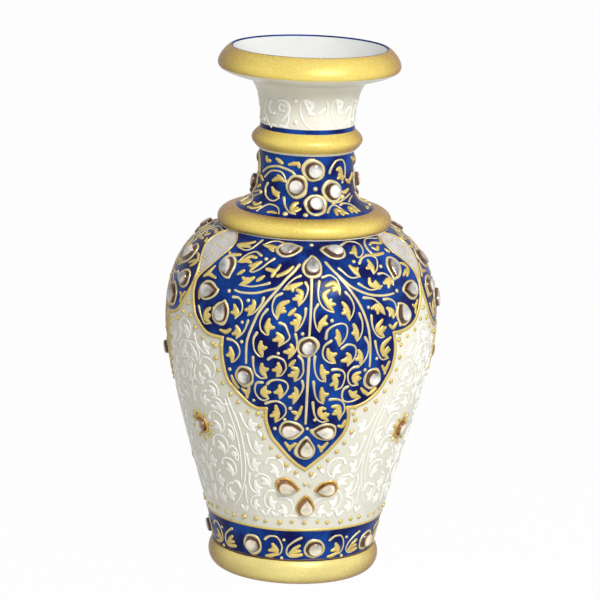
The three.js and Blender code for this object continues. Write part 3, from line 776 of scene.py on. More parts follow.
class Vine:
    """A painter who pipes stalks and leaves on one wall, into one set of lines each."""

    # Half widths in millimetres along a stroke, from its start to its end
    STALK = (0.8, 0.54, 0.44, 0.42, 0.4)
    LEAF = (0.46, 1.24, 1.48, 1.3, 0.86)
    LOBE = (1.22, 1.28, 0.86)
    CROTCH = (1.26, 0.95)
    LEAFLET = (0.7, 1.14, 0.9)
    # Shares of the way: where a leaf drawn by its tip alone bends and how far, where its lobe ends,
    # and how far its crotch goes towards the lobe and towards the tip
    BENDS = ((0.45, 0.3), (0.82, 0.26))
    LOBE_REACH = 0.86
    CROTCH_REACH = (0.3, 0.28)
    # How far the hand slips, in degrees and millimetres
    SLIP = 0.2

    def __init__(self, wall, stalks, leaves, size=1.0, turn=0.0, flip=1, step=0.55, seed=None):
        self.wall = wall
        self.stalks = stalks
        self.leaves = leaves
        self.size = size
        self.turn = turn
        self.flip = flip
        self.step = step
        self.hand = random.Random(seed) if seed else None

    def pipe(self, piping, points, widths):
        """Pipes a path, whose half width runs evenly through the given ones from end to end."""
        path = catmull(points, self.step)
        walked = [0.0]
        for before, after in zip(path, path[1:]):
            walked.append(walked[-1] + math.dist(before, after))
        line = []
        for (angle, height), far in zip(path, walked):
            share = far / walked[-1] * (len(widths) - 1)
            index = min(int(share), len(widths) - 2)
            half = widths[index] + (share - index) * (widths[index + 1] - widths[index])
            line.append((self.flip * angle + self.turn, height, half * self.size))
        piping.line(self.wall, line)

    def moved(self, points):
        """The points, shifted a little where the same sprig is piped again by hand."""
        if not self.hand:
            return points
        across, along = self.hand.gauss(0, self.SLIP), self.hand.gauss(0, self.SLIP)
        return [(angle + across, height + along) for angle, height in points]

    def sprig(self, *parts):
        """A hooked stalk from its thick end to its leaf, then the leaf and its side lobe, if it has them."""
        counts = [len(stroke(words)) if words else 0 for words in parts]
        places = self.moved([point for words in parts if words for point in stroke(words)])
        stalk = places[:counts[0]]
        self.pipe(self.stalks, stalk, self.STALK)
        body = places[counts[0]:counts[0] + counts[1]]
        if not body:
            return
        base, tip = stalk[-1], body[-1]
        side = places[-1] if counts[2] else None
        if len(body) == 1:
            middle = tuple((b + t) / 2 for b, t in zip(base, tip))
            lean = tuple(m - s for m, s in zip(middle, side)) if side else (0.0, 0.0)
            body = [
                tuple(b + share * (t - b) + bend * away for b, t, away in zip(base, tip, lean))
                for share, bend in self.BENDS] + [tip]
        self.pipe(self.leaves, [base, *body], self.LEAF)
        if side:
            root = body[0]
            out, on = self.CROTCH_REACH
            lobe = tuple(r + self.LOBE_REACH * (s - r) for r, s in zip(root, side))
            crotch = tuple(r + out * (s - r) + on * (t - r) for r, s, t in zip(root, side, tip))
            self.pipe(self.leaves, [root, lobe], self.LOBE)
            self.pipe(self.leaves, [root, crotch], self.CROTCH)

    def leaflet(self, words):
        self.pipe(self.leaves, self.moved(stroke(words)), self.LEAFLET)

    def stem(self, words, half_width):
        self.pipe(self.stalks, stroke(words), (1.15 * half_width, half_width, half_width, 0.9 * half_width))

    def sprays(self, sprigs, leaflets):
        for parts in sprigs:
            self.sprig(*parts)
        for words in leaflets:
            self.leaflet(words)


def ring_faces(rings, count):
    """The four-sided faces between rings of count vertices each."""
    faces = []
    for ring in range(rings - 1):
        for i in range(count):
            a = ring * count + i
            b = ring * count + (i + 1) % count
            faces.append((a, b, b + count, a + count))
    return faces


def bead_shape():
    """A low dome of paste, one metre across, to be scaled by its point's size."""
    rings = ((0.5, -0.12), (0.47, 0.12), (0.33, 0.3))
    peak = 0.37
    sides = 8
    vertices = [
        (r * math.cos(2 * math.pi * i / sides), r * math.sin(2 * math.pi * i / sides), z)
        for r, z in rings for i in range(sides)]
    vertices.append((0.0, 0.0, peak))
    faces = ring_faces(len(rings), sides)
    top = (len(rings) - 1) * sides
    faces += [(top + i, top + (i + 1) % sides, len(vertices) - 1) for i in range(sides)]
    faces.append(tuple(range(sides))[::-1])
    return mesh_object("bead_shape", vertices, faces)


def beads(name, points, finish, seed):
    """Beads at (wall, angle, height, size in millimetres)."""
    bead = bead_shape()
    places = [wall.point(angle, height) for wall, angle, height, _ in points]
    source = mesh_object(name + "_points", places, [])
    add_attribute(source, "outward", [wall.outward(angle, height) for wall, angle, height, _ in points])
    add_attribute(source, "size", [size * MM for _, _, _, size in points])
    piece = grow(name, source, bead_tree(), {"Bead": bead, "Seed": seed, "Material": finish})
    bpy.data.objects.remove(bead)
    return piece


def dots_at(wall, rows, turn, size):
    return [(wall, angle + turn, height, size) for words in rows for angle, height in stroke(words)]


# The right and left sides of a panel's border, from the collar to the tip, cut at its cusps
PANEL_RIGHT = [
    "53.5 151.4, 51 150, 50.2 147.7, 51 145.8, 53.5 143.6, 56.2 141, 58.4 138, 59.4 134.5, 59.2 131,"
    "57.8 127.6,"
    "56 124.4, 53.8 121.2, 51.5 118.6, 48.5 116.8, 45 115.7, 41.5 115.1, 37.3 115",
    "37.3 115, 38.1 111.5, 38.6 108, 38.6 104, 37.6 99, 35.3 94.5, 32.7 90.7, 30 88, 26.7 85.7, 23.3 84.3,"
    "20.7 83.8, 17.4 83.7",
    "17.4 83.7, 18.3 81.5, 18.7 78.5, 18.5 74.8, 17.6 72, 16 69.6, 13.3 66.4, 10 62.9, 6.7 60.1, 3 57.2,"
    "0 54.9",
]
PANEL_LEFT = [
    "-55 151.4, -51 150.3, -48.4 149, -47.8 147, -49 145, -51.5 142, -54 139, -56.9 136.2, -59 133.5,"
    "-59.3 130.6,"
    "-58.8 127, -57.2 123, -55.3 119, -52.5 116, -49 113.2, -45 111.8, -38.9 111.6",
    "-38.9 111.6, -39.2 108, -39.2 104, -38.2 97.6, -36.7 93, -33.7 89.7, -30 86.3, -26.7 83.7, -23.3 82.4,"
    "-19.1 82.6",
    "-19.1 82.6, -19.5 79.3, -19.3 76.3, -18.3 73, -16.7 69.3, -14 66.3, -10.7 62.7, -7.3 59.5, -4 57,"
    "0 54.9",
]

# The main stems of a panel: path, then half width in millimetres
STEMS = [
    ("-0.7 138.7, -0.9 128, -1.2 119, -1.3 115.2", 0.7),
    ("-1.1 106.8, -1.2 95, -1.2 85, -1.2 76.8", 0.74),
    ("12.2 139.7, 15 136.5, 18 132.5, 20.5 128.5, 22.5 124, 24.2 118.5, 25.2 112, 25.6 106, 25.8 101.8",
     0.7),
    ("6.7 144.8, 10 141.7, 13 139.3, 17 136, 20 134.3, 25 132.3, 30 131.3, 35 131, 39 131.2", 0.64),
    ("-6.7 143.8, -9.4 141, -12 138.7, -14.1 136.3, -17.3 132.3, -19.9 129, -21.5 126.7, -23.3 123.7,"
     "-24.6 120.3, -25.8 117, -26.7 114.3, -27.5 110.3, -27.7 102.3", 0.7),
    ("-14.1 136.3, -16.2 134.7, -20.2 133.5, -25.4 132, -32 131.5, -35.3 132", 0.62),
]

# The sprigs of a panel: hooked stalk from its club end to the leaf's base, leaf from there on, side lobe
SPRIGS = [
    ("4.5 139.5, 8 140.2, 11 138.5, 12 135.5, 11.8 132.8", "11.2 135.6, 9.3 137.2, 6 136.3", "8.8 134.2"),
    ("2.8 137.8, 2.2 134, 2.6 130.5, 4.5 127.5, 7.5 126, 8.8 125.8", "6.5 129, 4.8 132.6, 7 134.5",
     "9.5 129"),
    ("14.6 133.5, 16.6 131.2, 17.8 128, 17.2 124.8, 15.5 122.3", "12.9 129.4", "12.4 125.2"),
    ("20.2 124.6, 21.3 121.5, 21.4 118, 20.4 115, 19 113.3", "17.5 120.2", "16.9 116.8"),
    ("5.6 115, 6.2 118.2, 9 120.3, 12.5 121, 14.5 119.5, 14.4 116, 13 113.3, 11.2 111.6", "10.2 118",
     "9.8 115"),
    ("7.7 113.7, 5.2 111.8, 4.4 108.8, 5.3 106, 7.8 104.3, 10 104.2", "7.5 107, 6.6 110", "10.2 108.3"),
    ("12.5 110.5, 15 112, 18 111.2, 18.8 108.5, 18 105.5, 15.5 102.8", "15 108", "12.4 105"),
    ("22.8 114.4, 24.3 111.5, 24.4 108, 23.3 105, 21.3 102.6", "20 109", "18.9 105.3"),
    ("2 128.8, 0.7 126.5, 0.6 123, 1.5 119.5, 2.7 117.8", "3.4 121, 5.5 124", "6 121"),
    ("13 142.5, 14.5 141.5, 16.5 139.8, 19 138.9, 22.7 139.2", "21 141.2, 19 143.2", "22.8 142.4"),
    ("21.5 136.5, 24 135, 27 133.8, 31 134, 33.3 134.8", "31.5 134.6, 29 135.3, 27.2 136.2, 27.4 138",
     "30.3 137"),
    ("24.7 144, 27 145.5, 30 146.2, 34 146, 36 145, 35 143, 33 141, 30.5 139.8", "31 142.4, 30.5 144.6",
     "27.5 142"),
    ("19 150.3, 23 151, 28 151, 31.5 150, 30 147.5, 26 146, 24.5 146.3", "25 148, 26.5 149.4", "22 147.7"),
    ("22.9 131, 25.3 130.7, 27.9 130, 30.3 128, 31.8 126.3, 32.5 123.5", "29.4 127, 26.4 126.5", "29 124"),
    ("25.8 123.3, 25.9 120.3, 26.8 117.3, 28.4 115, 30.5 113.7, 32 114.1", "30 116, 28.6 118.2, 31 121",
     "33 118"),
    ("27.6 112.3, 28.4 109.3, 29.7 106.3, 32 104, 35 104.3", "32.6 106.3, 31.4 109, 32.4 111, 35.3 113",
     "35.5 108"),
    ("33 129.5, 36 129.3, 38.5 127.8, 39.3 125.5, 38.8 122.8, 37 121.3", "36.8 124, 34.3 125.7",
     "35.2 122.5"),
    ("33.3 139.5, 36 139.5, 38.5 138.3, 40.5 136, 40 134.5", "38.4 136.6, 35 135.8", "36.8 133.7"),
    ("35 147, 34.3 148.5, 35.5 150, 38.5 151, 42 151.3, 50 150.8", None, None),
    ("-3.4 137.3, -2.3 135.3, -2.8 132.7, -4.1 130.3, -6.1 128.3", "-5.6 131.3, -5.2 133.5, -6.9 134.4",
     "-8.6 130.8"),
    ("-13.8 132.7, -16.2 131.3, -17.3 128, -16.7 124.7, -14.9 122.3",
     "-14.6 125.7, -13.4 128.4, -10.7 129.7",
     "-11.5 125.7"),
    ("-6 139.8, -8.3 138.9, -10.8 137, -13.1 134.3", "-9.5 135.6, -5.4 137", "-9 134"),
    ("-20 145.3, -22.5 143.8, -25.4 141.4, -28.8 139.8, -30.4 140", "-28.8 142.4, -26.5 143.7",
     "-31.5 142"),
    ("-17 150.6, -21 151, -25.5 150.7, -29.3 149.5", "-25 149.3, -20.4 149.2", "-21.7 147.8"),
    ("-21.5 130.3, -21.9 128.3, -23.3 126, -25.4 123.7, -27.5 122.7", "-25.7 128.7", "-29.1 124.7"),
    ("-19.4 125.8, -21.2 123.3, -22 120.3, -21.5 117.3, -19.4 115.5, -18.3 115.5",
     "-18.9 118.6, -18.3 121.7",
     "-15.9 118.7"),
    ("-13.6 120.8, -11.5 120, -10.2 117.5, -9.3 114.8, -11 112.8, -13.6 111", "-12.6 114.3, -14.4 116.3",
     "-16.2 113.3"),
    ("-3.1 127, -3.3 124, -4.4 121, -5.9 118.7, -7 117.7", "-6.4 121, -5.7 123.6, -7.3 124.5", "-9.1 121"),
    ("-7 116.3, -6.3 113.7, -6.3 110.7, -7.3 108.3, -9.4 106", "-8.6 111.7", "-11.5 108.7"),
    ("-23.2 115.7, -24.4 113.3, -24.4 110.3, -23.6 107.7, -21.7 105.8, -20.4 106", "-21.4 109, -21.2 112",
     "-18.8 110"),
    ("-17.9 105, -16.2 106.2, -13.6 106, -11.2 104.7, -10.4 102, -10.7 100.7, -12.3 98.3, -14.3 97.7",
     "-13.2 100.7, -13.7 103.3", "-16 100.3"),
    ("-5.2 107, -3.8 105.3, -3.3 102, -3.3 99.7, -4.7 97.3, -6.7 96", "-6.4 99, -5.9 101, -7.7 101.9",
     "-9.3 98.3"),
    ("-27.3 120.3, -28.3 117, -29.8 114.5, -32.2 112.4", "-31.3 115, -32.4 117.3", "-34.1 114"),
    ("-35.5 129.2, -33.2 129.3, -31.6 128.3, -30.5 126, -30.8 123.3, -33.2 120.7", "-32.8 123, -34.3 125.9",
     "-35.4 122.9"),
    ("-36.2 111.5, -33.7 111.2, -31.6 109.7, -30.5 107, -31.3 104.3, -33.4 102, -34.5 101.7",
     "-34.2 104.8, -35 107.7", "-36.8 104.3"),
    ("-53.4 122.3, -52.1 120, -50.5 117.7, -48.7 116, -45.3 116.7", "-48.6 118.2, -48.7 121, -46.8 122.7",
     "-46.1 120"),
    ("-27.5 146, -31 147, -34.2 146.3, -36.8 144.7, -38.4 142.7", "-34.5 143.6, -31.8 143.2", None),
    ("-19.9 136.3, -23.3 135.3, -28 134.3, -33.7 134.3", "-30.3 136.2, -27.8 137.7", "-33.2 137.3"),
    ("-32.1 150.7, -34.7 148, -37.6 147, -41.6 147.3", "-44.3 148.3, -40.4 149, -36.3 150", "-36 148.3"),
    ("-24.6 105, -24.4 101, -23.3 97.7, -21 96.2, -18.7 96.7", "-20.6 99.4, -20.7 102.3", "-18 100.7"),
    ("-20.7 94.3, -23 94, -24 91.7, -23.7 89, -22 86.8, -19.7 86.3, -18 87.3", "-20.5 89.7, -19.3 92.3",
     "-17 90.3"),
    ("-18.3 94, -16.7 95.5, -13.7 96.2, -10.7 95.5, -9.5 93.7, -10 91.3, -12.3 88.3, -13 87.8",
     "-12.7 90.8, -13 93.3", "-15.3 90.3"),
    ("-3.5 96, -3 93.7, -3.7 91, -5.3 88, -7 85.8", "-6.3 92.7", "-9 88.7"),
    ("-19.2 85, -16.7 86, -13.7 86.3, -11 84.8, -10.2 82.7, -10.7 80.3, -13 78, -15 76.8",
     "-14.2 80.6, -14.7 84",
     "-17.3 79.3"),
    ("1.3 107, 1.2 104, 1.5 101.3, 2.3 98.7, 4 96.5, 6.3 96", "4.9 99.6, 4.3 103", "7.3 100"),
    ("9 101.2, 11.3 101.3, 13.7 100.3, 14.7 98, 14.3 95, 13.3 93, 11 92.1", "11 95.4, 10 98.2, 11.9 98.6",
     "8.7 94.3"),
    ("20.3 102, 18 101.7, 16.3 100, 16 97.7, 16.7 95.3, 18.3 93.7, 21 93.8", "19.4 96, 19 98, 21.3 99.3",
     "22 96.7"),
    ("1.3 95.7, 1.7 92.7, 2.5 89.3, 4 87, 6 86", "5.4 89.4, 5 92.7", "8 90.3"),
    ("16.3 93.2, 14.7 92.3, 14.2 89.7, 15 87.3, 17.3 86.3, 20.3 86.7, 23 87.9", "19.6 89, 17.7 91",
     "20.7 90.8"),
    ("9 87.7, 11.7 87.8, 14.3 87, 15.8 85, 16.3 82.3, 15.5 80.7, 14.3 78.3",
     "13.8 81.6, 13 84.2, 10.6 84.4",
     "11 81"),
    ("1.5 86.3, 2 83.3, 2.7 80.7, 4.3 78.3, 6.7 77.3, 9 78", "6.6 79.8, 5 81.7, 5.2 83.7, 6.9 83.6",
     "9 81"),
]

# Short fat strokes of a panel, which make its small leaves
LEAFLETS = [
    "-9.8 143, -12.5 141, -16.4 139.3", "-16.2 143.2, -18 141.2, -22.2 141.5", "-18 141.2, -19 139.2",
    "-36 138.3, -33.8 139.8", "-23 138.7, -25.5 137", "-36.5 143.6, -33 145.2, -30 145.1",
    "-7.6 126.8, -9.8 124.6", "-7 105, -8.7 103", "-54.6 130.7, -54.7 128.7, -54.1 126",
    "-50.8 139.3, -52.5 137, -54.7 135", "-47.6 135.2, -52 136, -54.4 135.2",
    "-46.8 145.3, -44.7 144.7, -39.7 145.2",
    "-40 114.7, -37.4 114.3, -35.5 115.5", "-34.8 95.3, -33.8 93, -32 90.8", "-30 90.3, -28 88.5, -28 87",
    "-26.6 91.5, -27.7 88", "-3.3 84.3, -4.3 81.3, -5.7 78.7", "-7.3 82, -5 81",
    "-10.3 67.3, -8.3 65.3, -5.7 67",
    "-8.3 65.8, -8.3 64.3", "35 118.5, 37 117.2, 38.8 118.8", "50.5 124.8, 52.3 123.8, 52 121.5",
    "52.3 123.8, 54.5 126", "38.5 149.5, 42 150, 48 149.5, 52 150.5", "38.5 148.5, 40.5 147.8, 43 148.5",
    "31 146.5, 36 146.2, 42.7 146.3", "47 147.3, 48 146.5", "51 141.8, 53.5 141, 54.8 139.5",
    "49 137.3, 52 138.5, 54.5 139", "51.5 136.8, 54.5 138.6", "23 92, 24.7 90.3, 26.7 89",
    "26.7 88.7, 28.7 89.7, 30.3 91", "32.3 101, 34.2 99, 35.8 102.2", "34.2 99.6, 34.2 97.8",
    "14.3 75.3, 16.3 75, 17.2 77.3", "5.7 66.3, 7.3 65, 9.7 67.3", "7.3 65.4, 7.3 63.9",
]

# Gold dots of a panel
DOTS = [
    "41.2 132, -38.2 131.3, 8 122.3, 21.8 144.7, 36.3 142, 24.6 127, 28.9 104.8, 41.1 118, -24.1 145,"
    "-28.2 128.7",
    "-4.1 116.7, -13.8 107.8, -29.9 119.5, -29.7 111.2, -44.5 123.3, -35.5 98.3, -24.8 85.8, -10.7 78.2",
    "-8.3 83.5, -15.3 73.7, 23.7 100.3, 2.9 78.4, -0.3 74.3, 0 150.4, 0.5 48, 3.2 47.2",
]

# The neck, once for each group of four stones: lines with half widths, sprigs, short strokes and dots
NECK_LINES = [
    ("-17.5 176.2, -19.5 177.2, -23 178.1, -31 179, -41.6 179.5, -53.9 178.6, -62 177.2, -67.5 175.8",
     0.62),
    ("-63.3 173.7, -59 175, -54.7 176.3, -49 177.2, -43.3 177.5, -35.9 177.3, -31 175.6, -29.3 173.2", 0.5),
    ("27 164.7, 32 165, 38 165.2, 44 165.9, 50 166.5, 58 167.4", 0.52),
    ("51 164.5, 56 165.5, 62 166.3", 0.42),
    ("-50.5 160.6, -50 161.9, -46.2 163.1, -40 163.3, -33.5 162.7, -29.8 161.7, -28 160.8", 0.45),
]
NECK_SPRIGS = [
    ("24.5 177.8, 26 179.3, 29.5 181.3, 33.5 182.6, 38 182.9, 42.5 182.8, 46 181.8, 48.5 180, 49.5 177.5,"
     "49.2 174.8",
     None, None),
    ("44.6 173.2, 44.4 173.6", "43.2 175.6, 41.4 177.4, 38.8 179.1, 35.7 178.8", "36.6 174.9"),
    ("-29.8 173.4, -31 173.3", "-35.5 174.2, -39.5 174.4, -43.5 173.8, -47 173.2", "-40.5 175.6"),
    ("-56.3 171.2, -58.4 170, -58.8 168.6, -57.2 167.2, -54.9 166.2, -47.5 164.9, -40.3 164.9, -35.7 166.2",
     "-39.4 167.6, -43.5 168.2, -47.2 169.8", "-37.2 168.3"),
    ("-29.4 166.5, -27.9 165, -25.9 163.6, -22.1 162.2, -17.5 161.3, -13.3 161.1",
     "-15.8 161.9, -18.1 163, -16.3 164.4, -13.6 164.9",
     "-9.1 162.9"),
    ("17.5 161.8, 21 163, 25 164, 29 164, 33 163, 35.5 161.6, 36.5 160.8",
     "33.5 161.5, 30 162.3, 27 162.2, 25 161",
     "30.2 160.7"),
    ("36.5 164, 40 164.3, 46 164, 51 163.3, 54 162, 53 160.9", "49.5 161.9, 45.5 162.4, 42.6 161.2",
     "47 160.7"),
]
NECK_LEAFLETS = [
    "-42.9 182.6, -39.1 181.9, -35.5 181.2", "-25.4 180.9, -20 181.4, -14.6 181.6",
    "-14.4 181.8, -13.6 180.4",
    "-60.5 182.6, -61 181.2, -54.2 181.2", "52 173.7, 55 173.1, 60 172.2",
    "-31.3 160.9, -35.5 161.1, -38.4 160.9",
    "-67.7 162.5, -60.8 162.1, -57.9 163", "-65.2 160.9, -56.5 161.1, -53.5 162",
    "4 183.4, 2 182.6", "46.8 175.1, 44.6 174.4", "43.2 168.9, 48 168.5, 55 169.3",
]
NECK_DOTS = ["6.8 170.9, -22 160.9, -4 160.9, -66 166.8"]

# The band above the foot, once for each gap between two stones, about the middle of the gap
BAND_SPRIGS = [
    ("-12.3 20.2, -10 21.5, -7.8 22, -5 21.9, -3 20.8, -1.6 19, -0.9 17.2, -1.2 15.2, -2.6 13.6, -4.5 13",
     "-5 15.3, -7.2 17.9", "-10.2 14.9"),
    ("11.6 21.7, 9 20.8, 5.7 19.2, 3.2 17.5, 2.2 15.6, 2.5 14, 4.2 12.8, 7.2 12.6, 11 13.1", None, None),
]
BAND_LEAFLETS = ["-12 12.2, -9 12.4, -5.6 13.2", "4.6 14.4, 7.6 16.4, 10.6 17.9",
"5 14.2, 8.2 15, 10.9 15.4",
                 "4.4 13.6, 8 13.1, 12.4 13.6"]
BAND_DOTS = ["0.4 20.6, -1.1 11.8"]

# White vine on the marble between two panels, from the panel's tip to the flower; its mirror image is the
# other half
WHITE_STEMS = [
    ("-38 86, -36.5 81, -34.5 76, -33 70, -32.2 64, -32 58, -32.6 52, -34 47, -36.5 42, -40 37, -44 34",
     0.4),
    ("-39.5 84, -38.2 79, -36.4 73, -35 67, -34.5 60, -34.9 53, -35.8 48", 0.34),
    ("-33.8 44.5, -34.3 40, -34 36.5", 0.4),
    ("-60 93, -60.4 88, -59.8 83, -60.3 79.5", 0.36),
]
WHITE_SPRIGS = [
    ("-51 73, -50.6 75.3, -48 77, -45 76.8, -42.6 75, -41.8 72, -42.5 69.5, -44.5 67.7", "-47.3 72.3",
     "-48.6 69.5"),
    ("-52 61, -51.3 64, -49 66, -46 66.6, -43 65.5, -41.8 63, -42.3 60.5, -44.8 58", "-47.4 63",
     "-48.9 60.4"),
    ("-47.5 53, -46.8 55, -44 56, -41 56, -38.8 54.5, -38.3 52, -39.2 49.5, -41.4 48", "-43.4 53.2",
     "-45 50.8"),
    ("-41 61.5, -38.5 62.2, -36.6 60.5, -36 58, -36.8 55.8, -38.3 57.2", "-38.6 59.3", "-40 58.2"),
    ("-46.5 84, -43 83.6, -40.9 81, -40.6 78.6, -42.4 77.6", "-44.5 81.6", "-46.3 79.3"),
    ("-39.4 72.2, -37.4 71.4, -36.8 69, -37.2 66.4, -38.6 64.8", "-39.6 69.4", "-40.7 66.8"),
    ("-29.8 69, -29.2 65.5, -28 62.5, -26 60.7, -23.3 60.7", "-25.6 66", "-22 65"),
    ("-30.8 60, -30.3 57, -29.8 54.6, -28 52.7, -25.6 52.6", "-27 57.8", "-24 56.8"),
    ("-21.2 57, -20 59, -17 59.7, -14 59, -12.2 56.8, -11.9 54, -13 51.7, -15.3 50.5", "-18 56.3",
     "-19 53"),
    ("-27 50, -24.5 51.5, -21.5 51.3, -19 49.9, -18.3 47.6, -19.4 45.8", "-22.4 49.4", "-23.4 46.8"),
    ("-30.5 50.5, -31.2 47.5, -30.8 44.5, -28.7 42.3, -25.5 41.6", "-27.3 47.4", "-24 44.6"),
    ("-16.8 43.8, -19.5 43.6, -21.9 41.9, -22.8 39.2, -22.2 36.8, -20 35.2, -17 35.1", "-18.8 40.4",
     "-15.6 38.8"),
    ("-13 41, -10 40.7, -7.2 39.2, -5.8 36.6, -6.3 33.8, -8.3 32.2, -11 31.5", "-12 36.8", "-14.2 33.9"),
    ("-26 41, -28 40.4, -30.6 39.2, -31.8 37, -31 34.7, -28.7 33.7", "-28.2 38", "-26.3 35.6"),
    ("-50.5 49, -53.2 47.7, -54.3 45, -53 42.5, -50.4 41.8", "-51.4 46.4", "-48.6 44.8"),
    ("-42.5 44.6, -45.3 43.8, -47.6 41.6, -47.5 38.8, -46 36.8, -43.6 36.3", "-45 41.4", "-42 39.8"),
    ("-54.2 58.2, -56.6 56, -57.2 53, -56 50.7, -53.7 50.2", "-54.8 54.9", "-52 53.6"),
    ("-52.4 40.4, -54.8 38.8, -55 36.2, -53.2 34.4, -50.6 34.2", "-52.6 37.6", "-49.7 36.8"),
    ("-63.5 104, -61 106, -57.5 106.3, -54.5 105.2, -53 102.8, -53.2 100.3, -55 98.4", "-57.8 103.4",
     "-59 100.4"),
    ("-55.3 110.3, -54.3 107.3, -52.3 105, -49.5 103.4, -46.7 103.4", "-49.8 107.8", "-46.4 106"),
    ("-52.7 97.5, -51.5 99.8, -48.8 101, -45.8 100.5, -43.7 98.4, -43.6 95.5, -45 93.2, -47 92.2",
     "-49.4 97.2",
     "-50.4 94.2"),
    ("-56 96, -57.3 93, -56.6 90.2, -54.2 88.6, -51.6 88.8", "-53.4 93", "-50.4 91.4"),
    ("-48.5 90.5, -46.3 90.9, -44 89.8, -42.9 87.5, -43.5 85.2, -45.6 85", "-47.3 88.4", "-48.8 86.3"),
    ("-51 85.8, -53.3 85.2, -55 83, -54.6 80.6, -52.4 79.3", "-52 83.3", "-49.6 81.7"),
    ("-32.6 78.7, -31.6 76, -30.2 73.6, -28 71.8, -25.8 71.6", "-27.6 76.4", "-24.6 75"),
    ("-63 98.5, -61 99.4, -59.2 97.8, -59 95.4, -60.6 94", "-61.6 97", None),
]
WHITE_LEAFLETS = [
    "-38.3 34.6, -36.6 32.6, -34.8 34.3", "-25 33.6, -22.8 31.9, -20.6 34.1",
    "-18.3 33.2, -16.6 31.8, -15.4 32.6",
    "-22.2 69.2, -23.2 71.2", "-9.6 53.4, -8.2 54.8", "-62.4 91, -60 89, -57.6 91.4",
    "-62.2 85.6, -60 84, -57.9 86",
    "-62.4 59.6, -60 56.8, -57.6 59.8", "-60 56.8, -60 53.2", "-62 50.6, -60 48, -58.2 50.8",
    "-60 48, -60.3 43.6",
    "-61.8 40.6, -60 38, -58.4 40.9", "-60 38, -59.8 34.6", "-40.8 45.6, -38.6 45, -37.6 43",
    "-48.6 79.6, -46.6 78.8",
    "-3.6 50.6, -5 52.2", "-38 81.6, -41 81.2", "-12.2 46.6, -14 48.6", "-58.8 110.6, -60 107.8",
]
WHITE_CROWN = (
    "-67 110, -66.3 113, -64 115, -60.8 115, -58.3 113, -57.6 110.5, -59 108.6", "-62.5 112", "-63.2 109")
WHITE_FOOT_LINE = "-6.5 32.4, 0.5 32.3, 7.5 32.4"

# White vine on the throat in two kinds of scroll, each about its own middle: lines with half widths, then
# dots
THROAT_NINE = [
    ("-14 207.3, -19.2 205, -21.3 202.3, -18.8 200, -14.1 197.5, -7.6 195.9", (0.3, 0.34, 0.4, 0.5)),
    ("-6.7 207, -9.9 205.4, -10.6 203.3, -7.6 201.9, -3.5 201.9", (1.0, 0.7, 0.62, 1.0)),
    ("5 208, 10.9 208.4, 15.7 207.7, 18.1 206.1, 18.1 204.3, 15.8 202.4, 12.4 200.8, 8.1 199.3",
     (0.6, 0.95, 1.2, 0.6)),
    ("11.1 203.6, 6.8 203.6, 4.6 204.7, 6.1 206.1, 10.2 206.6, 13.3 205.9", (0.7, 0.72, 0.6)),
    ("17.8 201.7, 16.9 199.4, 14.2 197.1", (0.34, 0.34)),
    ("-7.1 196.8, -0.5 196.7", (0.75, 0.6)),
    ("6.1 196.9, 14.5 196.8", (0.7, 0.6)),
]
THROAT_TWO = [
    ("-12.6 209.3, -15.6 207.7, -16.7 205.5, -15.5 202.6, -12.2 200, -7.5 197.9, -2.5 196.7",
     (0.36, 0.44, 0.42)),
    ("-10.9 209, -6.3 208.4, -2.9 207.3, -3.2 205.7, -5.5 204.3, -5.6 203.4, -0.5 202.9",
     (1.0, 1.25, 1.2, 0.8)),
    ("-10.6 208.2, -8.8 206.7, -7.5 205.3", (0.9, 0.8)),
    ("14.3 208.2, 16.2 206, 15.9 203.1, 13.4 200.2, 9.5 198.4, 4.9 197.7", (0.55, 0.5, 0.44, 0.7)),
    ("11.8 205.1, 9 204.2, 6.2 203.3", (0.95, 0.7)),
    ("15.8 199.8, 15.3 196.6", (0.4, 0.34)),
]
THROAT_SCROLLS = [(-46, THROAT_NINE), (2, THROAT_TWO), (39.5, THROAT_TWO), (84, THROAT_NINE),
                  (132, THROAT_TWO), (169.5, THROAT_TWO), (214, THROAT_NINE), (262, THROAT_TWO)]
THROAT_DOTS = (
    "-19.5 208.6, -19.2 199.2, -68.5 198.4, 62 207.6, 62 199.2, 110 208.4, 110.5 199.2, 191 207.8,"
    "192 199.4")


def outline_path(sides, step=0.8):
    """The outline down one side of a panel, with its cusps kept sharp."""
    path = []
    for stretch in sides:
        path += catmull(stroke(stretch), step)[0 if not path else 1:]
    return path


def shoulder_loop(near, far, count):
    """Two borders joined into a loop: up the near one, along the shoulder and down the far one."""
    start, end = near[0][0], far[0][0]
    edge = [(start + (end - start) * i / count, LOOP_TOP) for i in range(1, count)]
    return near[::-1] + edge + far[:-1]


def panel_loop():
    """The whole outline of a panel."""
    return shoulder_loop(outline_path(PANEL_LEFT), outline_path(PANEL_RIGHT), 50)


def spandrel_loop():
    """The outline of the white ground between two panels under the collar."""
    right = [(x, y) for x, y in catmull(stroke(PANEL_RIGHT[0]), 0.8) if y > SPANDREL_FOOT]
    left = [(x + 120, y) for x, y in catmull(stroke(PANEL_LEFT[0]), 0.8) if y > SPANDREL_FOOT]
    return shoulder_loop(right, left, 16)


def inside(point, loop):
    """Whether a point lies in a closed loop of points."""
    x, y = point
    odd = False
    for (x0, y0), (x1, y1) in zip(loop, loop[1:] + loop[:1]):
        if (y0 > y) != (y1 > y) and x < x0 + (y - y0) / (y1 - y0) * (x1 - x0):
            odd = not odd
    return odd


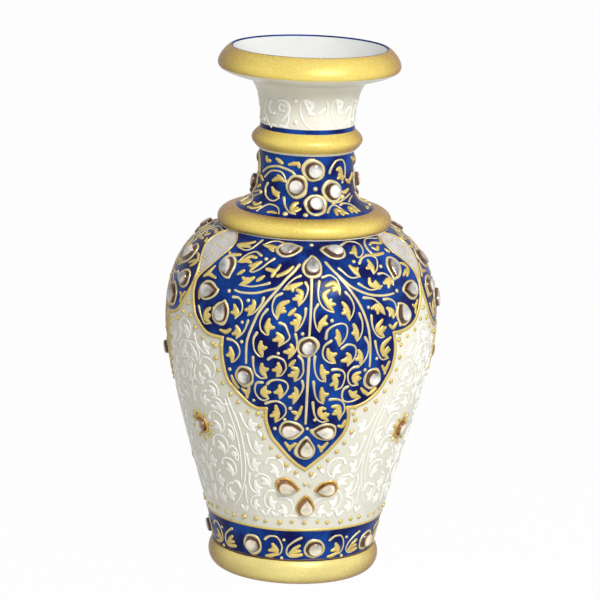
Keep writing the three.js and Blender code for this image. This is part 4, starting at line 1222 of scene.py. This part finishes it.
def sheet(name, loop, turn, rise, grid):
    """A thin smooth sheet that fills a loop of (angle, height) on the body, with points a grid apart."""
    angles = [angle for angle, _ in loop]
    heights = [height for _, height in loop]
    points = list(loop)
    columns = int((max(angles) - min(angles)) / grid)
    height = min(heights)
    while height < max(heights):
        step = grid / math.hypot(1.0, BODY_WALL.at(height)[1])
        height += step
        for column in range(1, columns):
            point = (min(angles) + column * grid, height)
            if inside(point, loop) and min(math.dist(point, q) for q in loop) > 0.35 * step:
                points.append(point)
    count = len(loop)
    rim = [(i, (i + 1) % count) for i in range(count)]
    whole = [list(range(count))]
    flat, _, triangles, *_ = delaunay_2d_cdt([Vector(p) for p in points], rim, whole, 1, SAME_POINT)
    front, back = [
        [BODY_WALL.point(x + turn, min(y, SHEET_TOP), lift) for x, y in flat]
        for lift in (rise, -SUNK)]
    faces = []
    directed = {}
    for a, b, c in triangles:
        area = (flat[b] - flat[a]).cross(flat[c] - flat[a])
        if abs(area) < LEAST_AREA:
            continue
        face = (a, b, c) if area > 0 else (a, c, b)
        faces += [face, tuple(i + len(flat) for i in reversed(face))]
        directed.update(dict.fromkeys(zip(face, face[1:] + face[:1])))
    for p, q in directed:
        if (q, p) not in directed:
            faces.append((q, p, p + len(flat), q + len(flat)))
    return smooth(mesh_object(name, front + back, faces))


# Where the stones lie: (degrees from the panel's middle, millimetres); each drop's point aims at the centre
# that leads its group, and the last number says how bright the stones' painted reflection is
DROP_GROUPS = [
    ((0, 149.5), [(-12.5, 148.4), (0, 143.4), (12.5, 148.4)], 0.62),
    ((-37.5, 131.4), [(-43.3, 139.8), (-48.7, 129.6), (-40, 122.4)], 0.62),
    ((38.7, 132.0), [(43.7, 140.3), (50.3, 131.4), (43.3, 123)], 0.62),
    ((0, 74.0), [(-7.6, 73.5), (7.7, 73.0), (0, 65.4)], 0.9),
    ((2, 44.6), [(-8.6, 46.0), (12.1, 45.5), (2, 37.2)], 0.9),
]
# Round stones of a panel: angle, height and how bright their painted reflection is
BODY_ROUNDS = [(-1.4, 110.9, 0.55), (-28.3, 96.3, 0.68), (28.3, 96.2, 0.68)]
NECK_ROUNDS = [(5.6, 178.9), (-15, 171.6), (29.4, 169.6), (7.3, 164.3)]
FLOWERS = [(55.5, 68.8), (179, 68.8), (-58, 68.8)]
BAND_STONES = [-90, -33, 10, 55, 100, 143, 187, 230]
BAND_STONE_HEIGHT = 16.6
SPANDREL_DOTS = (
    "60 149, 56.6 149.4, 64 149.4, 67.4 148.6, 57.4 146.4, 61.8 146.8, 65 146.2, 59.6 144.2, 63 143.6,"
    "58.4 141.6, 61.4 141.2, 60.2 138.4, 60.4 135.6")

# Degrees round the vase at which the panels and the neck's groups of stones stand
PANEL_TURNS = (0, 120, 240)
NECK_TURNS = (0, 108, 232)
NECK_REACH = 60

# Millimetres: widths of the round stones, dots and piped lines, and how they lie on the wall
BODY_ROUND, NECK_ROUND, FLOWER_ROUND, BAND_ROUND = 5.9, 6.2, 5.4, 6.1
PANEL_DOT, NECK_DOT, BAND_DOT, THROAT_DOT, SPANDREL_DOT = 1.75, 2.4, 1.7, 2.3, 1.1
BORDER_RISE, BAND_LINE_RISE, SEAM_RISE, STONE_LINE_RISE = 0.62, 0.3, 0.3, 0.6
BAND_LINE_HEIGHT, BAND_LINE_HALF = BAND_TOP + 0.6, 0.58
SEAM_HEIGHT, SEAM_HALF = BODY_BOTTOM + 0.35, 0.3
RELIEF_RISE, THROAT_RISE = 0.24, 0.36
LOOP_TOP, SHEET_TOP, BORDER_TOP = SHOULDER - 0.05, SHOULDER - 0.02, SHOULDER - 0.1
PANEL_GRID, SPANDREL_SHADE_GRID = 1.7, 1.2
SPANDREL_FOOT = 131.2
THINNING_START, THINNING_HEIGHT = 132.0, 8.0
DOT_ROW_TOP = 128
DOT_ROW_GAP = 3.4
BAND_ROW_HEIGHT = 29.2
MARBLE_DROPS = (30, 50)
SPANDREL_SHADE_RISE = 0.05
SUNK = 0.1
LEAST_AREA = 1e-9
SAME_POINT = 1e-5

# Petals of a flower: (distance from its middle, half width) in millimetres, the tip's distance varying
PETALS = 10
PETAL = ((5.4, 0.6), (6.0, 0.85))
PETAL_TIP, PETAL_TIP_HALF = 6.7, 0.55

# The line round a stone, by where the stone lies: its distance from the stone and its half width
STONE_LINES = {"flower": (1.1, 0.85), "marble": (0.8, 0.5), "body": (0.98, 0.72), "neck": (1.1, 0.9)}

# Where the finishes of the neck and the mouth meet, in millimetres
NECK_INSIDE = NECK_RADIUS - 1.5
MOUTH_INSIDE = NECK_RADIUS - 2.2
RING_START, RING_END, RING_LINE_END = NECK_TOP + 1.5, RING_TOP + 0.1, RING_TOP + 2.0
RIM_START, RIM_LINE_START = THROAT_TOP + 4.7, RIM_TOP - 0.8
RIM_INSIDE, RIM_OUTSIDE = CREST_RADIUS - 0.6, CREST_RADIUS + 0.35

# Shares, counts and the seeds of the random draws
THINNEST = 0.5
# Painted reflection of the stones: how much lighter one side is, and how bright those of the neck, the
# flowers and the band are
SIDE_GLEAM = 0.35
NECK_SHINE, FLOWER_SHINE, BAND_SHINE = 0.72, 0.62, 0.8
NECK_STONE_RISE = 1.3
GIRDLE_SCALE = 0.95
# Painted shade at the middle of a stone: a drop's middle is darker, a round stone's lighter
DROP_MIDDLE_SHADE, ROUND_MIDDLE_SHADE = 0.22, -0.25
BAND_DOT_COUNT = 46
RING_STEPS = 180
STONE_SEED, LINE_SEED, PETAL_SEED = 21, 11, 400

# Ranges of the random draws: millimetres, a share, and radians round a stone
LEAN_ACROSS, LEAN_ALONG = (-0.55, -0.15), (-0.35, 0.35)
SHINE_SPREAD = 0.1
GLEAM_SIDES = (2.6, 5.2)

Setting = namedtuple("Setting", "kind wall lean matrix edge shine")


def round_edge(diameter, count=28):
    return [
        (diameter / 2 * math.cos(2 * math.pi * i / count), diameter / 2 * math.sin(2 * math.pi * i / count))
        for i in range(count)]


def drop_edge(tall, wide, count=32):
    """A pear drop with its point towards +y."""
    widest = 4 / math.sqrt(27)
    edge = []
    for i in range(count):
        turn = 2 * math.pi * i / count
        across = wide / 2 * math.sin(turn) * math.sin(turn / 2) / widest
        edge.append((-across, tall / 2 * math.cos(turn)))
    return edge


def gleams(edge, levels, brightness, side, middle_shade):
    """How bright each vertex of a stone is, as painted reflection and shade: lighter to one side, and darker
    at its middle by its middle shade, lighter there when that is below nought.
    """
    reach = max(math.hypot(x, y) for x, y in edge)
    across, along = math.cos(side), math.sin(side)
    slant = SIDE_GLEAM * (1 - middle_shade)
    return [
        brightness - middle_shade * (1 - scale) + (slant * scale) * (x * across + y * along) / reach
        for scale, _, _ in levels for x, y in edge]


def loft(edge, levels, matrix, lean):
    """A closed form: the edge scaled, raised and shifted by a share of the lean, level by level."""
    count = len(edge)
    vertices = [
        matrix @ Vector(((s * x + lean[0] * share) * MM, (s * y + lean[1] * share) * MM, z * MM))
        for s, z, share in levels for x, y in edge]
    last = (len(levels) - 1) * count
    faces = ring_faces(len(levels), count)
    faces += [tuple(range(count))[::-1], tuple(range(last, last + count))]
    return vertices, faces


class Stones:
    """Every stone: its kind and wall, how far its setting stands off centre, its place and its edge."""

    def __init__(self, sizes):
        drop = drop_edge(sizes.drop_length / MM, sizes.drop_width / MM)
        self.items = []
        self.hand = random.Random(STONE_SEED)
        for turn in PANEL_TURNS:
            for centre, drops, shine in DROP_GROUPS:
                for angle, height in drops:
                    matrix = BODY_WALL.seat(angle + turn, height)
                    goal = matrix.inverted() @ BODY_WALL.point(centre[0] + turn, centre[1])
                    spin = Matrix.Rotation(math.atan2(-goal.x, goal.y), 4, "Z")
                    self.items.append(Setting("drop", BODY_WALL, self.lean(), matrix @ spin, drop, shine))
            for angle, height, shine in BODY_ROUNDS:
                self.add_round("round", BODY_WALL, angle + turn, height, BODY_ROUND, shine)
        for turn in NECK_TURNS:
            for angle, height in NECK_ROUNDS:
                self.add_round("round", NECK_WALL, angle + turn, height, NECK_ROUND, NECK_SHINE)
        for angle, height in FLOWERS:
            self.add_round("flower", BODY_WALL, angle, height, FLOWER_ROUND, FLOWER_SHINE)
        for angle in BAND_STONES:
            self.add_round("round", BODY_WALL, angle, BAND_STONE_HEIGHT, BAND_ROUND, BAND_SHINE)

    def lean(self):
        """How far a stone's setting is shifted, mostly to the left, in millimetres."""
        return self.hand.uniform(*LEAN_ACROSS), self.hand.uniform(*LEAN_ALONG)

    def add_round(self, kind, wall, angle, height, diameter, shine):
        edge = round_edge(diameter)
        self.items.append(Setting(kind, wall, self.lean(), wall.seat(angle, height), edge, shine))

    @staticmethod
    def on_marble(item):
        """Whether a stone lies on the bare marble: those of the flowers and of the lowest drops do."""
        low, high = MARBLE_DROPS
        height = item.matrix.translation.z / MM
        return item.kind == "flower" or (item.kind == "drop" and low < height < high)

    def lofts(self, levels, chosen):
        """The chosen stones or pastes as vertices and faces, with each vertex's gleam and girdle."""
        vertices, faces, gleam, girdle = [], [], [], []
        for item in filter(chosen, self.items):
            rise = NECK_STONE_RISE if item.wall is NECK_WALL else 1.0
            raised = [(scale, height * rise, share) for scale, height, share in levels]
            more, rings = loft(item.edge, raised, item.matrix, item.lean)
            faces += [tuple(i + len(vertices) for i in face) for face in rings]
            vertices += more
            shine = item.shine + self.hand.uniform(-SHINE_SPREAD, SHINE_SPREAD)
            middle_shade = DROP_MIDDLE_SHADE if item.kind == "drop" else ROUND_MIDDLE_SHADE
            gleam += gleams(item.edge, levels, shine, self.hand.uniform(*GLEAM_SIDES), middle_shade)
            girdle += [float(scale > GIRDLE_SCALE) for scale, _, _ in levels for _ in item.edge]
        return vertices, faces, gleam, girdle

    def outlines(self, amber):
        """Uneven lines round the stones that lie on the marble, or round all the others."""
        lines = Piping(STONE_LINE_RISE)
        chance = random.Random(LINE_SEED)
        for item in self.items:
            if self.on_marble(item) != amber:
                continue
            phase = chance.uniform(0, math.tau)
            lies = "marble" if amber else "body" if item.wall is BODY_WALL else "neck"
            gap, half = STONE_LINES["flower" if item.kind == "flower" else lies]
            left, up = item.lean
            path = []
            for index, (x, y) in enumerate(item.edge):
                turn = math.tau * index / len(item.edge)
                reach = math.hypot(x, y)
                peak = 0.35 * math.exp(-(3.0 * math.sin((turn - phase) / 2)) ** 2)
                wobble = 0.16 * math.sin(2 * turn + phase) + 0.1 * math.sin(5 * turn + 2 * phase) + peak
                swell = 1 + 0.16 * math.sin(3 * turn + phase) + 0.1 * math.sin(7 * turn) + peak
                grown = (reach + gap + wobble) / reach
                point = item.matrix @ Vector(((x * grown + left) * MM, (y * grown + up) * MM, 0.0))
                path.append((math.degrees(math.atan2(point.x, -point.y)), point.z / MM, half * swell))
            lines.line(item.wall, path, closed=True)
        return lines


MARBLE, GILDED, ENAMELLED, INNER = range(4)


def neck_finish(face):
    """Which of the neck's two materials a face takes: enamel outside, or the marble of its bore."""
    return int(math.hypot(face.center.x, face.center.y) / MM < NECK_INSIDE)


def mouth_finish(face):
    """Which material a face of the mouth takes, by where it lies."""
    radius = math.hypot(face.center.x, face.center.y) / MM
    height = face.center.z / MM
    inward = face.normal.x * face.center.x + face.normal.y * face.center.y < 0
    if inward and radius < RIM_INSIDE:
        return INNER
    if radius < MOUTH_INSIDE or height < RING_START:
        return MARBLE
    if height < RING_END:
        return GILDED
    if height < RING_LINE_END:
        return ENAMELLED
    if height > RIM_START and radius > RIM_OUTSIDE:
        return GILDED
    if height > RIM_LINE_START and radius > RIM_INSIDE:
        return ENAMELLED
    return MARBLE


class VASE_OT_marble(bpy.types.Operator):
    """Turns the foot, body, collar, neck and mouth finely and gives them their finishes"""

    bl_idname = "vase.marble"
    bl_label = "Turned marble"

    def execute(self, context):
        colours = context.scene.vase_colours
        marble = marble_material("polished_marble", colours.marble)
        inner = marble_material("inner_marble", colours.inside)
        gilding = gilding_material("gilded_rings", colours.gilding)
        # The foot's gold is the rings' gold made paler, as painted light bounced from the floor
        floor_lit_foot_gilding = gilding_material("gilded_foot", colours.floor_lit_foot_gilding)
        enamel = enamel_material(colours)
        for name, outline, slot, finishes, nodes in (
                ("foot_turned", foot_outline(), "gilded_marble", [floor_lit_foot_gilding], ["foot"]),
                ("body_turned", body_outline(), "white_marble", [marble], ["body"]),
                ("shoulder_collar_turned", collar_outline(), "gilded_marble",
                 [gilding], ["shoulder_collar"]),
                ("collar_cement", cement_outline(), "white_marble", [marble], []),
                ("neck_turned", neck_outline(), "blue_enamelled_marble", [enamel, inner], ["neck"]),
                ("mouth_turned", mouth_outline(), "white_marble",
                 [marble, gilding, enamel, inner], ["mouth"])):
            place(revolve(name, outline), finishes, nodes)
        for name, finish in (("neck_turned", neck_finish), ("mouth_turned", mouth_finish)):
            for face in bpy.data.objects[name].data.polygons:
                face.material_index = finish(face)
        return {"FINISHED"}


class VASE_OT_enamel(bpy.types.Operator):
    """Lays the blue enamel of the panels and of the band above the foot, and the grey sheet of painted shade
    between the panels
    """

    bl_idname = "vase.enamel"
    bl_label = "Blue enamel"

    def execute(self, context):
        enamel = bpy.data.materials["blue_enamel"]
        wash = spandrel_shade_material(context.scene.vase_colours)
        rise = context.scene.vase_sizes.enamel_rise / MM
        # The grey sheet between the panels is painted shade and reflection on the marble
        for name, slot, finish, loop, lift, grid in (
                ("panel_enamel", "blue_enamelled_marble", enamel, panel_loop(), rise, PANEL_GRID),
                ("spandrel_wash", "white_marble", wash, spandrel_loop(), SPANDREL_SHADE_RISE, SPANDREL_SHADE_GRID)):
            for number, turn in enumerate(PANEL_TURNS, start=1):
                place(sheet(f"{name}_{number}", loop, turn, lift, grid), [finish])
        band = [point for point in lower_wall(150) if point[1] < BAND_TOP - 0.1]
        band.append((BODY_WALL.at(BAND_TOP)[0], BAND_TOP))
        outer = [(radius + rise, height) for radius, height in band]
        inner = [(radius - SUNK, height) for radius, height in reversed(band)]
        place(revolve("base_band_enamel", outer + inner), [enamel])
        return {"FINISHED"}


class VASE_OT_borders(bpy.types.Operator):
    """Pipes the gold borders of the panels and of the band, and lays the rows of dots along them"""

    bl_idname = "vase.borders"
    bl_label = "Gold borders and dots"

    def execute(self, context):
        sizes = context.scene.vase_sizes
        colours = context.scene.vase_colours
        gold = piped_material("border_gold", colours.border_gold)
        brown = piped_material("seam_brown", colours.seam)
        dot = sizes.dot_size / MM
        half = sizes.border_width / MM / 2
        piping = Piping(BORDER_RISE)
        dots = []
        for turn in PANEL_TURNS:
            for stretch in PANEL_RIGHT + PANEL_LEFT:
                piping.line(BODY_WALL, [
                    (x + turn, min(y, BORDER_TOP), half * self.fullness(y))
                    for x, y in catmull(stroke(stretch), 0.9)])
            dots += self.dot_row(turn, sizes.dot_spacing / MM, dot)
        seam = Piping(SEAM_RISE)
        seam.line(BODY_WALL, self.ring(SEAM_HEIGHT, (7, 0.12), SEAM_HALF, (31, 0.08)), closed=True)
        band = self.ring(BAND_LINE_HEIGHT, (5, 0.15), BAND_LINE_HALF, (0, 0.0))
        piping.line(BODY_WALL, band, closed=True, rise=BAND_LINE_RISE)
        place(seam.piece("foot_seam", brown, sizes.line_sides))
        for i in range(BAND_DOT_COUNT):
            angle = 360 * i / BAND_DOT_COUNT + 1.5 + 0.9 * math.sin(i * 2.3)
            dots.append((BODY_WALL, angle, BAND_ROW_HEIGHT + 0.35 * math.sin(i * 1.7), dot))
        for turn in PANEL_TURNS:
            dots += dots_at(BODY_WALL, [SPANDREL_DOTS], turn, SPANDREL_DOT)
        for centre in FLOWERS:
            self.petals(piping, centre)
        place(piping.piece("gold_borders", gold, sizes.line_sides + 2))
        place(beads("gold_dots", dots, gold, seed=7))
        return {"FINISHED"}

    @staticmethod
    def ring(height, climb, half, swell):
        """A line round the vase that wavers by (waves, size) in height and in half width."""
        turns = [math.tau * i / RING_STEPS for i in range(RING_STEPS)]
        return [
            (math.degrees(turn), height + climb[1] * math.sin(climb[0] * turn),
             half + swell[1] * math.sin(swell[0] * turn))
            for turn in turns]

    @staticmethod
    def fullness(height):
        """How full a border is at a height: it runs thin beside the white ground under the collar."""
        share = min(max((height - THINNING_START) / THINNING_HEIGHT, 0.0), 1.0)
        return 1.0 - THINNEST * share

    @staticmethod
    def petals(piping, centre):
        """A ring of short pointed petals round a flower's stone."""
        chance = random.Random(int(centre[0]) + PETAL_SEED)
        for number in range(PETALS):
            turn = math.tau * (number + chance.uniform(-0.15, 0.15)) / PETALS
            tip = PETAL_TIP + chance.uniform(-0.3, 0.5)
            piping.line(BODY_WALL, [
                (*BODY_WALL.shift(centre, reach * math.sin(turn), reach * math.cos(turn)), half)
                for reach, half in (*PETAL, (tip, PETAL_TIP_HALF))])

    @staticmethod
    def dot_row(turn, step, size):
        """Dots outside the lower outline of a panel, a step apart."""
        dots = []
        for sides, sign in ((PANEL_RIGHT, 1), (PANEL_LEFT, -1)):
            path = outline_path(sides, 0.4)
            walked = 0.0
            for (x0, y0), (x1, y1) in zip(path, path[1:]):
                if y0 > DOT_ROW_TOP:
                    continue
                across = math.radians(x1 - x0) * BODY_WALL.at(y0)[0]
                along = y1 - y0
                far = math.hypot(across, along)
                walked += far
                if walked < step or far == 0:
                    continue
                walked = 0.0
                out = (-along / far * sign, across / far * sign)
                angle, height = BODY_WALL.shift((x0, y0), DOT_ROW_GAP * out[0], DOT_ROW_GAP * out[1])
                dots.append((BODY_WALL, angle + turn, height, size))
        return dots


class VASE_OT_vines(bpy.types.Operator):
    """Pipes the gold vines of the panels, the neck and the band above the foot"""

    bl_idname = "vase.vines"
    bl_label = "Gold vines"

    def execute(self, context):
        sizes = context.scene.vase_sizes
        colours = context.scene.vase_colours
        golds = [piped_material(name, getattr(colours, name)) for name in ("stalk_gold", "leaf_gold")]
        rise = sizes.line_rise / MM
        dots = []
        for number, turn in enumerate(PANEL_TURNS, start=1):
            seed = number if number > 1 else None
            vine = Vine(BODY_WALL, Piping(rise), Piping(rise), turn=turn, seed=seed)
            for words, half in STEMS:
                vine.stem(words, half)
            vine.sprays(SPRIGS, LEAFLETS)
            self.hand_in(vine, f"panel_{number}", golds, sizes)
            dots += dots_at(BODY_WALL, DOTS, turn, PANEL_DOT)
        neck = Vine(NECK_WALL, Piping(rise), Piping(rise), step=1.3)
        for turn, before in zip(NECK_TURNS, (NECK_TURNS[-1] - 360, *NECK_TURNS)):
            neck.turn = turn
            free = before + NECK_REACH - turn
            for words, half in NECK_LINES:
                if self.least(words) > free:
                    neck.stem(words, half)
            neck.sprays(
                [parts for parts in NECK_SPRIGS if self.least(parts[0]) > free],
                [words for words in NECK_LEAFLETS if self.least(words) > free])
            dots += dots_at(NECK_WALL, NECK_DOTS, turn, NECK_DOT)
        self.hand_in(neck, "neck", golds, sizes)
        band = Vine(BODY_WALL, Piping(rise), Piping(rise), step=0.9)
        for angle, after in zip(BAND_STONES, BAND_STONES[1:] + [BAND_STONES[0] + 360]):
            band.turn = (angle + after) / 2
            band.sprays(BAND_SPRIGS, BAND_LEAFLETS)
            dots += dots_at(BODY_WALL, BAND_DOTS, band.turn, BAND_DOT)
        self.hand_in(band, "band", golds, sizes)
        place(beads("vine_dots", dots, golds[0], seed=3))
        return {"FINISHED"}

    @staticmethod
    def least(words):
        return min(angle for angle, _ in stroke(words))

    @staticmethod
    def hand_in(vine, name, golds, sizes):
        for part, piping, gold in zip(("stalks", "leaves"), (vine.stalks, vine.leaves), golds):
            place(piping.piece(f"{name}_{part}", gold, sizes.line_sides))


class VASE_OT_relief(bpy.types.Operator):
    """Pipes the white vines on the bare marble between the panels and on the throat"""

    bl_idname = "vase.relief"
    bl_label = "White relief"

    def execute(self, context):
        sides = context.scene.vase_sizes.line_sides
        white = relief_material(context.scene.vase_colours)
        lines = Piping(RELIEF_RISE)
        for number, turn in enumerate(PANEL_TURNS, start=1):
            for flip in (1, -1):
                seed = 10 * number + flip
                vine = Vine(BODY_WALL, lines, lines, size=0.97, turn=turn, flip=flip, step=0.8, seed=seed)
                for words, half in WHITE_STEMS:
                    vine.stem(words, half)
                vine.sprays(WHITE_SPRIGS, WHITE_LEAFLETS)
                if flip == 1:
                    vine.sprig(*WHITE_CROWN)
            vine.pipe(lines, stroke(WHITE_FOOT_LINE), (0.5, 0.5))
        place(lines.piece("body_relief", white, sides))
        lines = Piping(THROAT_RISE)
        for turn, scroll in THROAT_SCROLLS:
            vine = Vine(THROAT_WALL, lines, lines, turn=turn, step=1.3)
            for words, halves in scroll:
                vine.pipe(lines, stroke(words), halves)
        place(lines.piece("throat_relief", white, sides))
        dots = dots_at(THROAT_WALL, [THROAT_DOTS], 0, THROAT_DOT)
        place(beads("relief_dots", dots, white, seed=9))
        return {"FINISHED"}


class VASE_OT_stones(bpy.types.Operator):
    """Sets the foiled stones in their brown paste, with an uneven gold line round each"""

    bl_idname = "vase.stones"
    bl_label = "Stones"

    def execute(self, context):
        sizes = context.scene.vase_sizes
        colours = context.scene.vase_colours
        glass = glass_material(colours)
        stones = Stones(sizes)
        top = sizes.stone_rise / MM
        middle = sizes.paste_rise / MM
        # Levels of a stone or its paste: scale of the edge, height and share of the setting's lean
        dome = [
            (0.97, middle - 0.05, 0), (1.0, middle + 0.12, 0), (0.98, middle + 0.35, 0),
            (0.88, middle + 0.6, 0), (0.68, top - 0.12, 0), (0.4, top, 0), (0.12, top + 0.05, 0)]
        cut = [
            (0.97, middle - 0.05, 0), (1.0, middle + 0.12, 0), (0.97, middle + 0.42, 0),
            (0.84, middle + 0.7, 0), (0.62, top - 0.08, 0), (0.36, top, 0), (0.1, top + 0.05, 0)]
        cup = [(1.14, -SUNK, 1), (1.12, 0.25, 1), (1.02, 0.7, 0.3), (0.99, middle, 0)]
        for kind, levels, crisp in (("round", dome, 50), ("drop", cut, 28), ("flower", dome, 50)):
            vertices, faces, gleam, girdle = stones.lofts(levels, lambda item: item.kind == kind)
            piece = mesh_object(f"{kind}_stones", vertices, faces)
            add_attribute(piece, "gleam", gleam)
            add_attribute(piece, "girdle", girdle)
            place(smooth(piece, crisp), [glass], self.nodes_of(kind))
        # The dark paste is the amber paste with painted shade, where it lies between stone and gold line on
        # the panels and the neck
        for name, colour, amber in (
                ("stone_paste_dark", colours.paste, False), ("stone_paste_amber", colours.amber, True)):
            vertices, faces, *_ = stones.lofts(cup, lambda item: stones.on_marble(item) == amber)
            place(smooth(mesh_object(name, vertices, faces)), [paste_material(name, colour)])
        for name, gold, amber in (
                ("stone_outlines", "stalk_gold", False), ("marble_stone_outlines", "warm_gold", True)):
            finish = piped_material(gold, getattr(colours, gold))
            place(stones.outlines(amber).piece(name, finish, sizes.line_sides))
        return {"FINISHED"}

    @staticmethod
    def nodes_of(kind):
        names = sorted(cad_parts)
        if kind == "drop":
            return [name for name in names if name.endswith("_drops")]
        if kind == "flower":
            return [name for name in names if name.startswith("flower_stone")]
        return [name for name in names if "stone" in name and not name.startswith("flower_stone")]


# The stage, in metres: what the camera and the lamps aim at, and half the floor's width
CAMERA_AIM = (-0.63 * MM, 0.0, 117.9 * MM)
LAMP_AIM = (0.0, 0.0, 0.12)
FLOOR_REACH = 3.0
FLOOR_WHITE = 0.97


class VASE_OT_stage(bpy.types.Operator):
    """Sets the pale floor, the lamps, the surrounding light and the camera"""

    bl_idname = "vase.stage"
    bl_label = "Stage"

    def execute(self, context):
        stage = context.scene.vase_stage
        context.scene.view_settings.view_transform = "Standard"
        self.camera(context.scene, stage)
        self.floor()
        self.world(context.scene, stage)
        self.lamp("key_lamp", stage.key_power, size=0.5, azimuth=20, elevation=37, distance=1.6)
        self.lamp("fill_lamp", stage.fill_power, size=0.9, azimuth=85, elevation=15, distance=1.8)
        return {"FINISHED"}

    @staticmethod
    def camera(scene, stage):
        data = bpy.data.cameras.new("camera")
        data.lens = stage.lens
        data.sensor_width = 36.0
        data.clip_end = 20.0
        camera = linked("camera", data)
        scene.camera = camera
        turn = Matrix.Rotation(stage.azimuth, 3, "Z")
        right = turn @ Vector((1.0, 0.0, 0.0))
        ahead = turn @ Vector((0.0, math.cos(stage.elevation), -math.sin(stage.elevation)))
        aim = turn @ Vector(CAMERA_AIM)
        matrix = Matrix((right, right.cross(ahead), -ahead)).transposed().to_4x4()
        matrix.translation = aim - stage.distance * ahead
        camera.matrix_world = matrix @ Matrix.Rotation(stage.roll, 4, "Z")

    @staticmethod
    def whiten(nodes, own, kind, share, end):
        """Shows plain white to the camera, mirrors and glass, and a node's own light to all else."""
        path = nodes.add("ShaderNodeLightPath").outputs
        seen = nodes.math("MAXIMUM", path["Is Camera Ray"], path["Is Glossy Ray"])
        seen = nodes.math("MAXIMUM", seen, path["Is Transmission Ray"])
        white = nodes.add(kind, Color=(1, 1, 1, 1))
        mixed = nodes.add("ShaderNodeMixShader")
        nodes.feed(mixed, nodes.math("MULTIPLY", seen, share), own, white)
        nodes.feed(nodes.tree.nodes[end], Surface=mixed)

    def floor(self):
        """A pale floor that looks white and keeps a soft shadow."""
        corners = [(x * FLOOR_REACH, y * FLOOR_REACH, 0.0) for x, y in ((-1, -1), (1, -1), (1, 1), (-1, 1))]
        floor = mesh_object("floor", corners, [(0, 1, 2, 3)])
        made, nodes, shader = material("pale_floor")
        nodes.feed(shader, Base_Color=(0.75, 0.75, 0.75, 1.0), Roughness=0.8)
        self.whiten(nodes, shader, "ShaderNodeEmission", FLOOR_WHITE, "Material Output")
        floor.data.materials.append(made)

    def world(self, scene, stage):
        scene.world = bpy.data.worlds.new("studio")
        scene.world.use_nodes = True
        nodes = Nodes(scene.world.node_tree)
        background = nodes.tree.nodes["Background"]
        nodes.feed(background, Color=(1.0, 0.98, 0.92, 1.0), Strength=stage.sky)
        self.whiten(nodes, background, "ShaderNodeBackground", 1.0, "World Output")

    @staticmethod
    def lamp(name, power, size, azimuth, elevation, distance):
        data = bpy.data.lights.new(name, "AREA")
        data.energy = power
        data.size = size
        turn = math.radians(azimuth)
        rise = math.radians(elevation)
        way = Vector((math.sin(turn) * math.cos(rise), -math.cos(turn) * math.cos(rise), math.sin(rise)))
        lamp = linked(name, data)
        lamp.location = Vector(LAMP_AIM) + distance * way
        lamp.rotation_euler = way.to_track_quat("Z", "Y").to_euler()


class VASE_PT_panel(bpy.types.Panel):
    bl_idname = "VASE_PT_panel"
    bl_label = "Vase"
    bl_space_type = "VIEW_3D"
    bl_region_type = "UI"
    bl_category = "Vase"

    def draw(self, context):
        for group in (context.scene.vase_sizes, context.scene.vase_colours, context.scene.vase_stage):
            for key in group.bl_rna.properties.keys():
                if key not in ("name", "rna_type"):
                    self.layout.prop(group, key)
        for operator in OPERATORS:
            self.layout.operator(operator.bl_idname)


OPERATORS = (
    VASE_OT_stage, VASE_OT_marble, VASE_OT_enamel, VASE_OT_borders, VASE_OT_vines, VASE_OT_relief,
    VASE_OT_stones)
CLASSES = (VaseSizes, VaseColours, VaseStage, *OPERATORS, VASE_PT_panel)


def register():
    for item in CLASSES:
        bpy.utils.register_class(item)
    bpy.types.Scene.vase_sizes = PointerProperty(type=VaseSizes)
    bpy.types.Scene.vase_colours = PointerProperty(type=VaseColours)
    bpy.types.Scene.vase_stage = PointerProperty(type=VaseStage)


def unregister():
    for name in ("vase_sizes", "vase_colours", "vase_stage"):
        delattr(bpy.types.Scene, name)
    for item in reversed(CLASSES):
        bpy.utils.unregister_class(item)


def main():
    register()
    bpy.ops.vase.stage()
    bpy.ops.vase.marble()
    bpy.ops.vase.enamel()
    bpy.ops.vase.borders()
    bpy.ops.vase.vines()
    bpy.ops.vase.relief()
    bpy.ops.vase.stones()


if __name__ == "__main__":
    main()
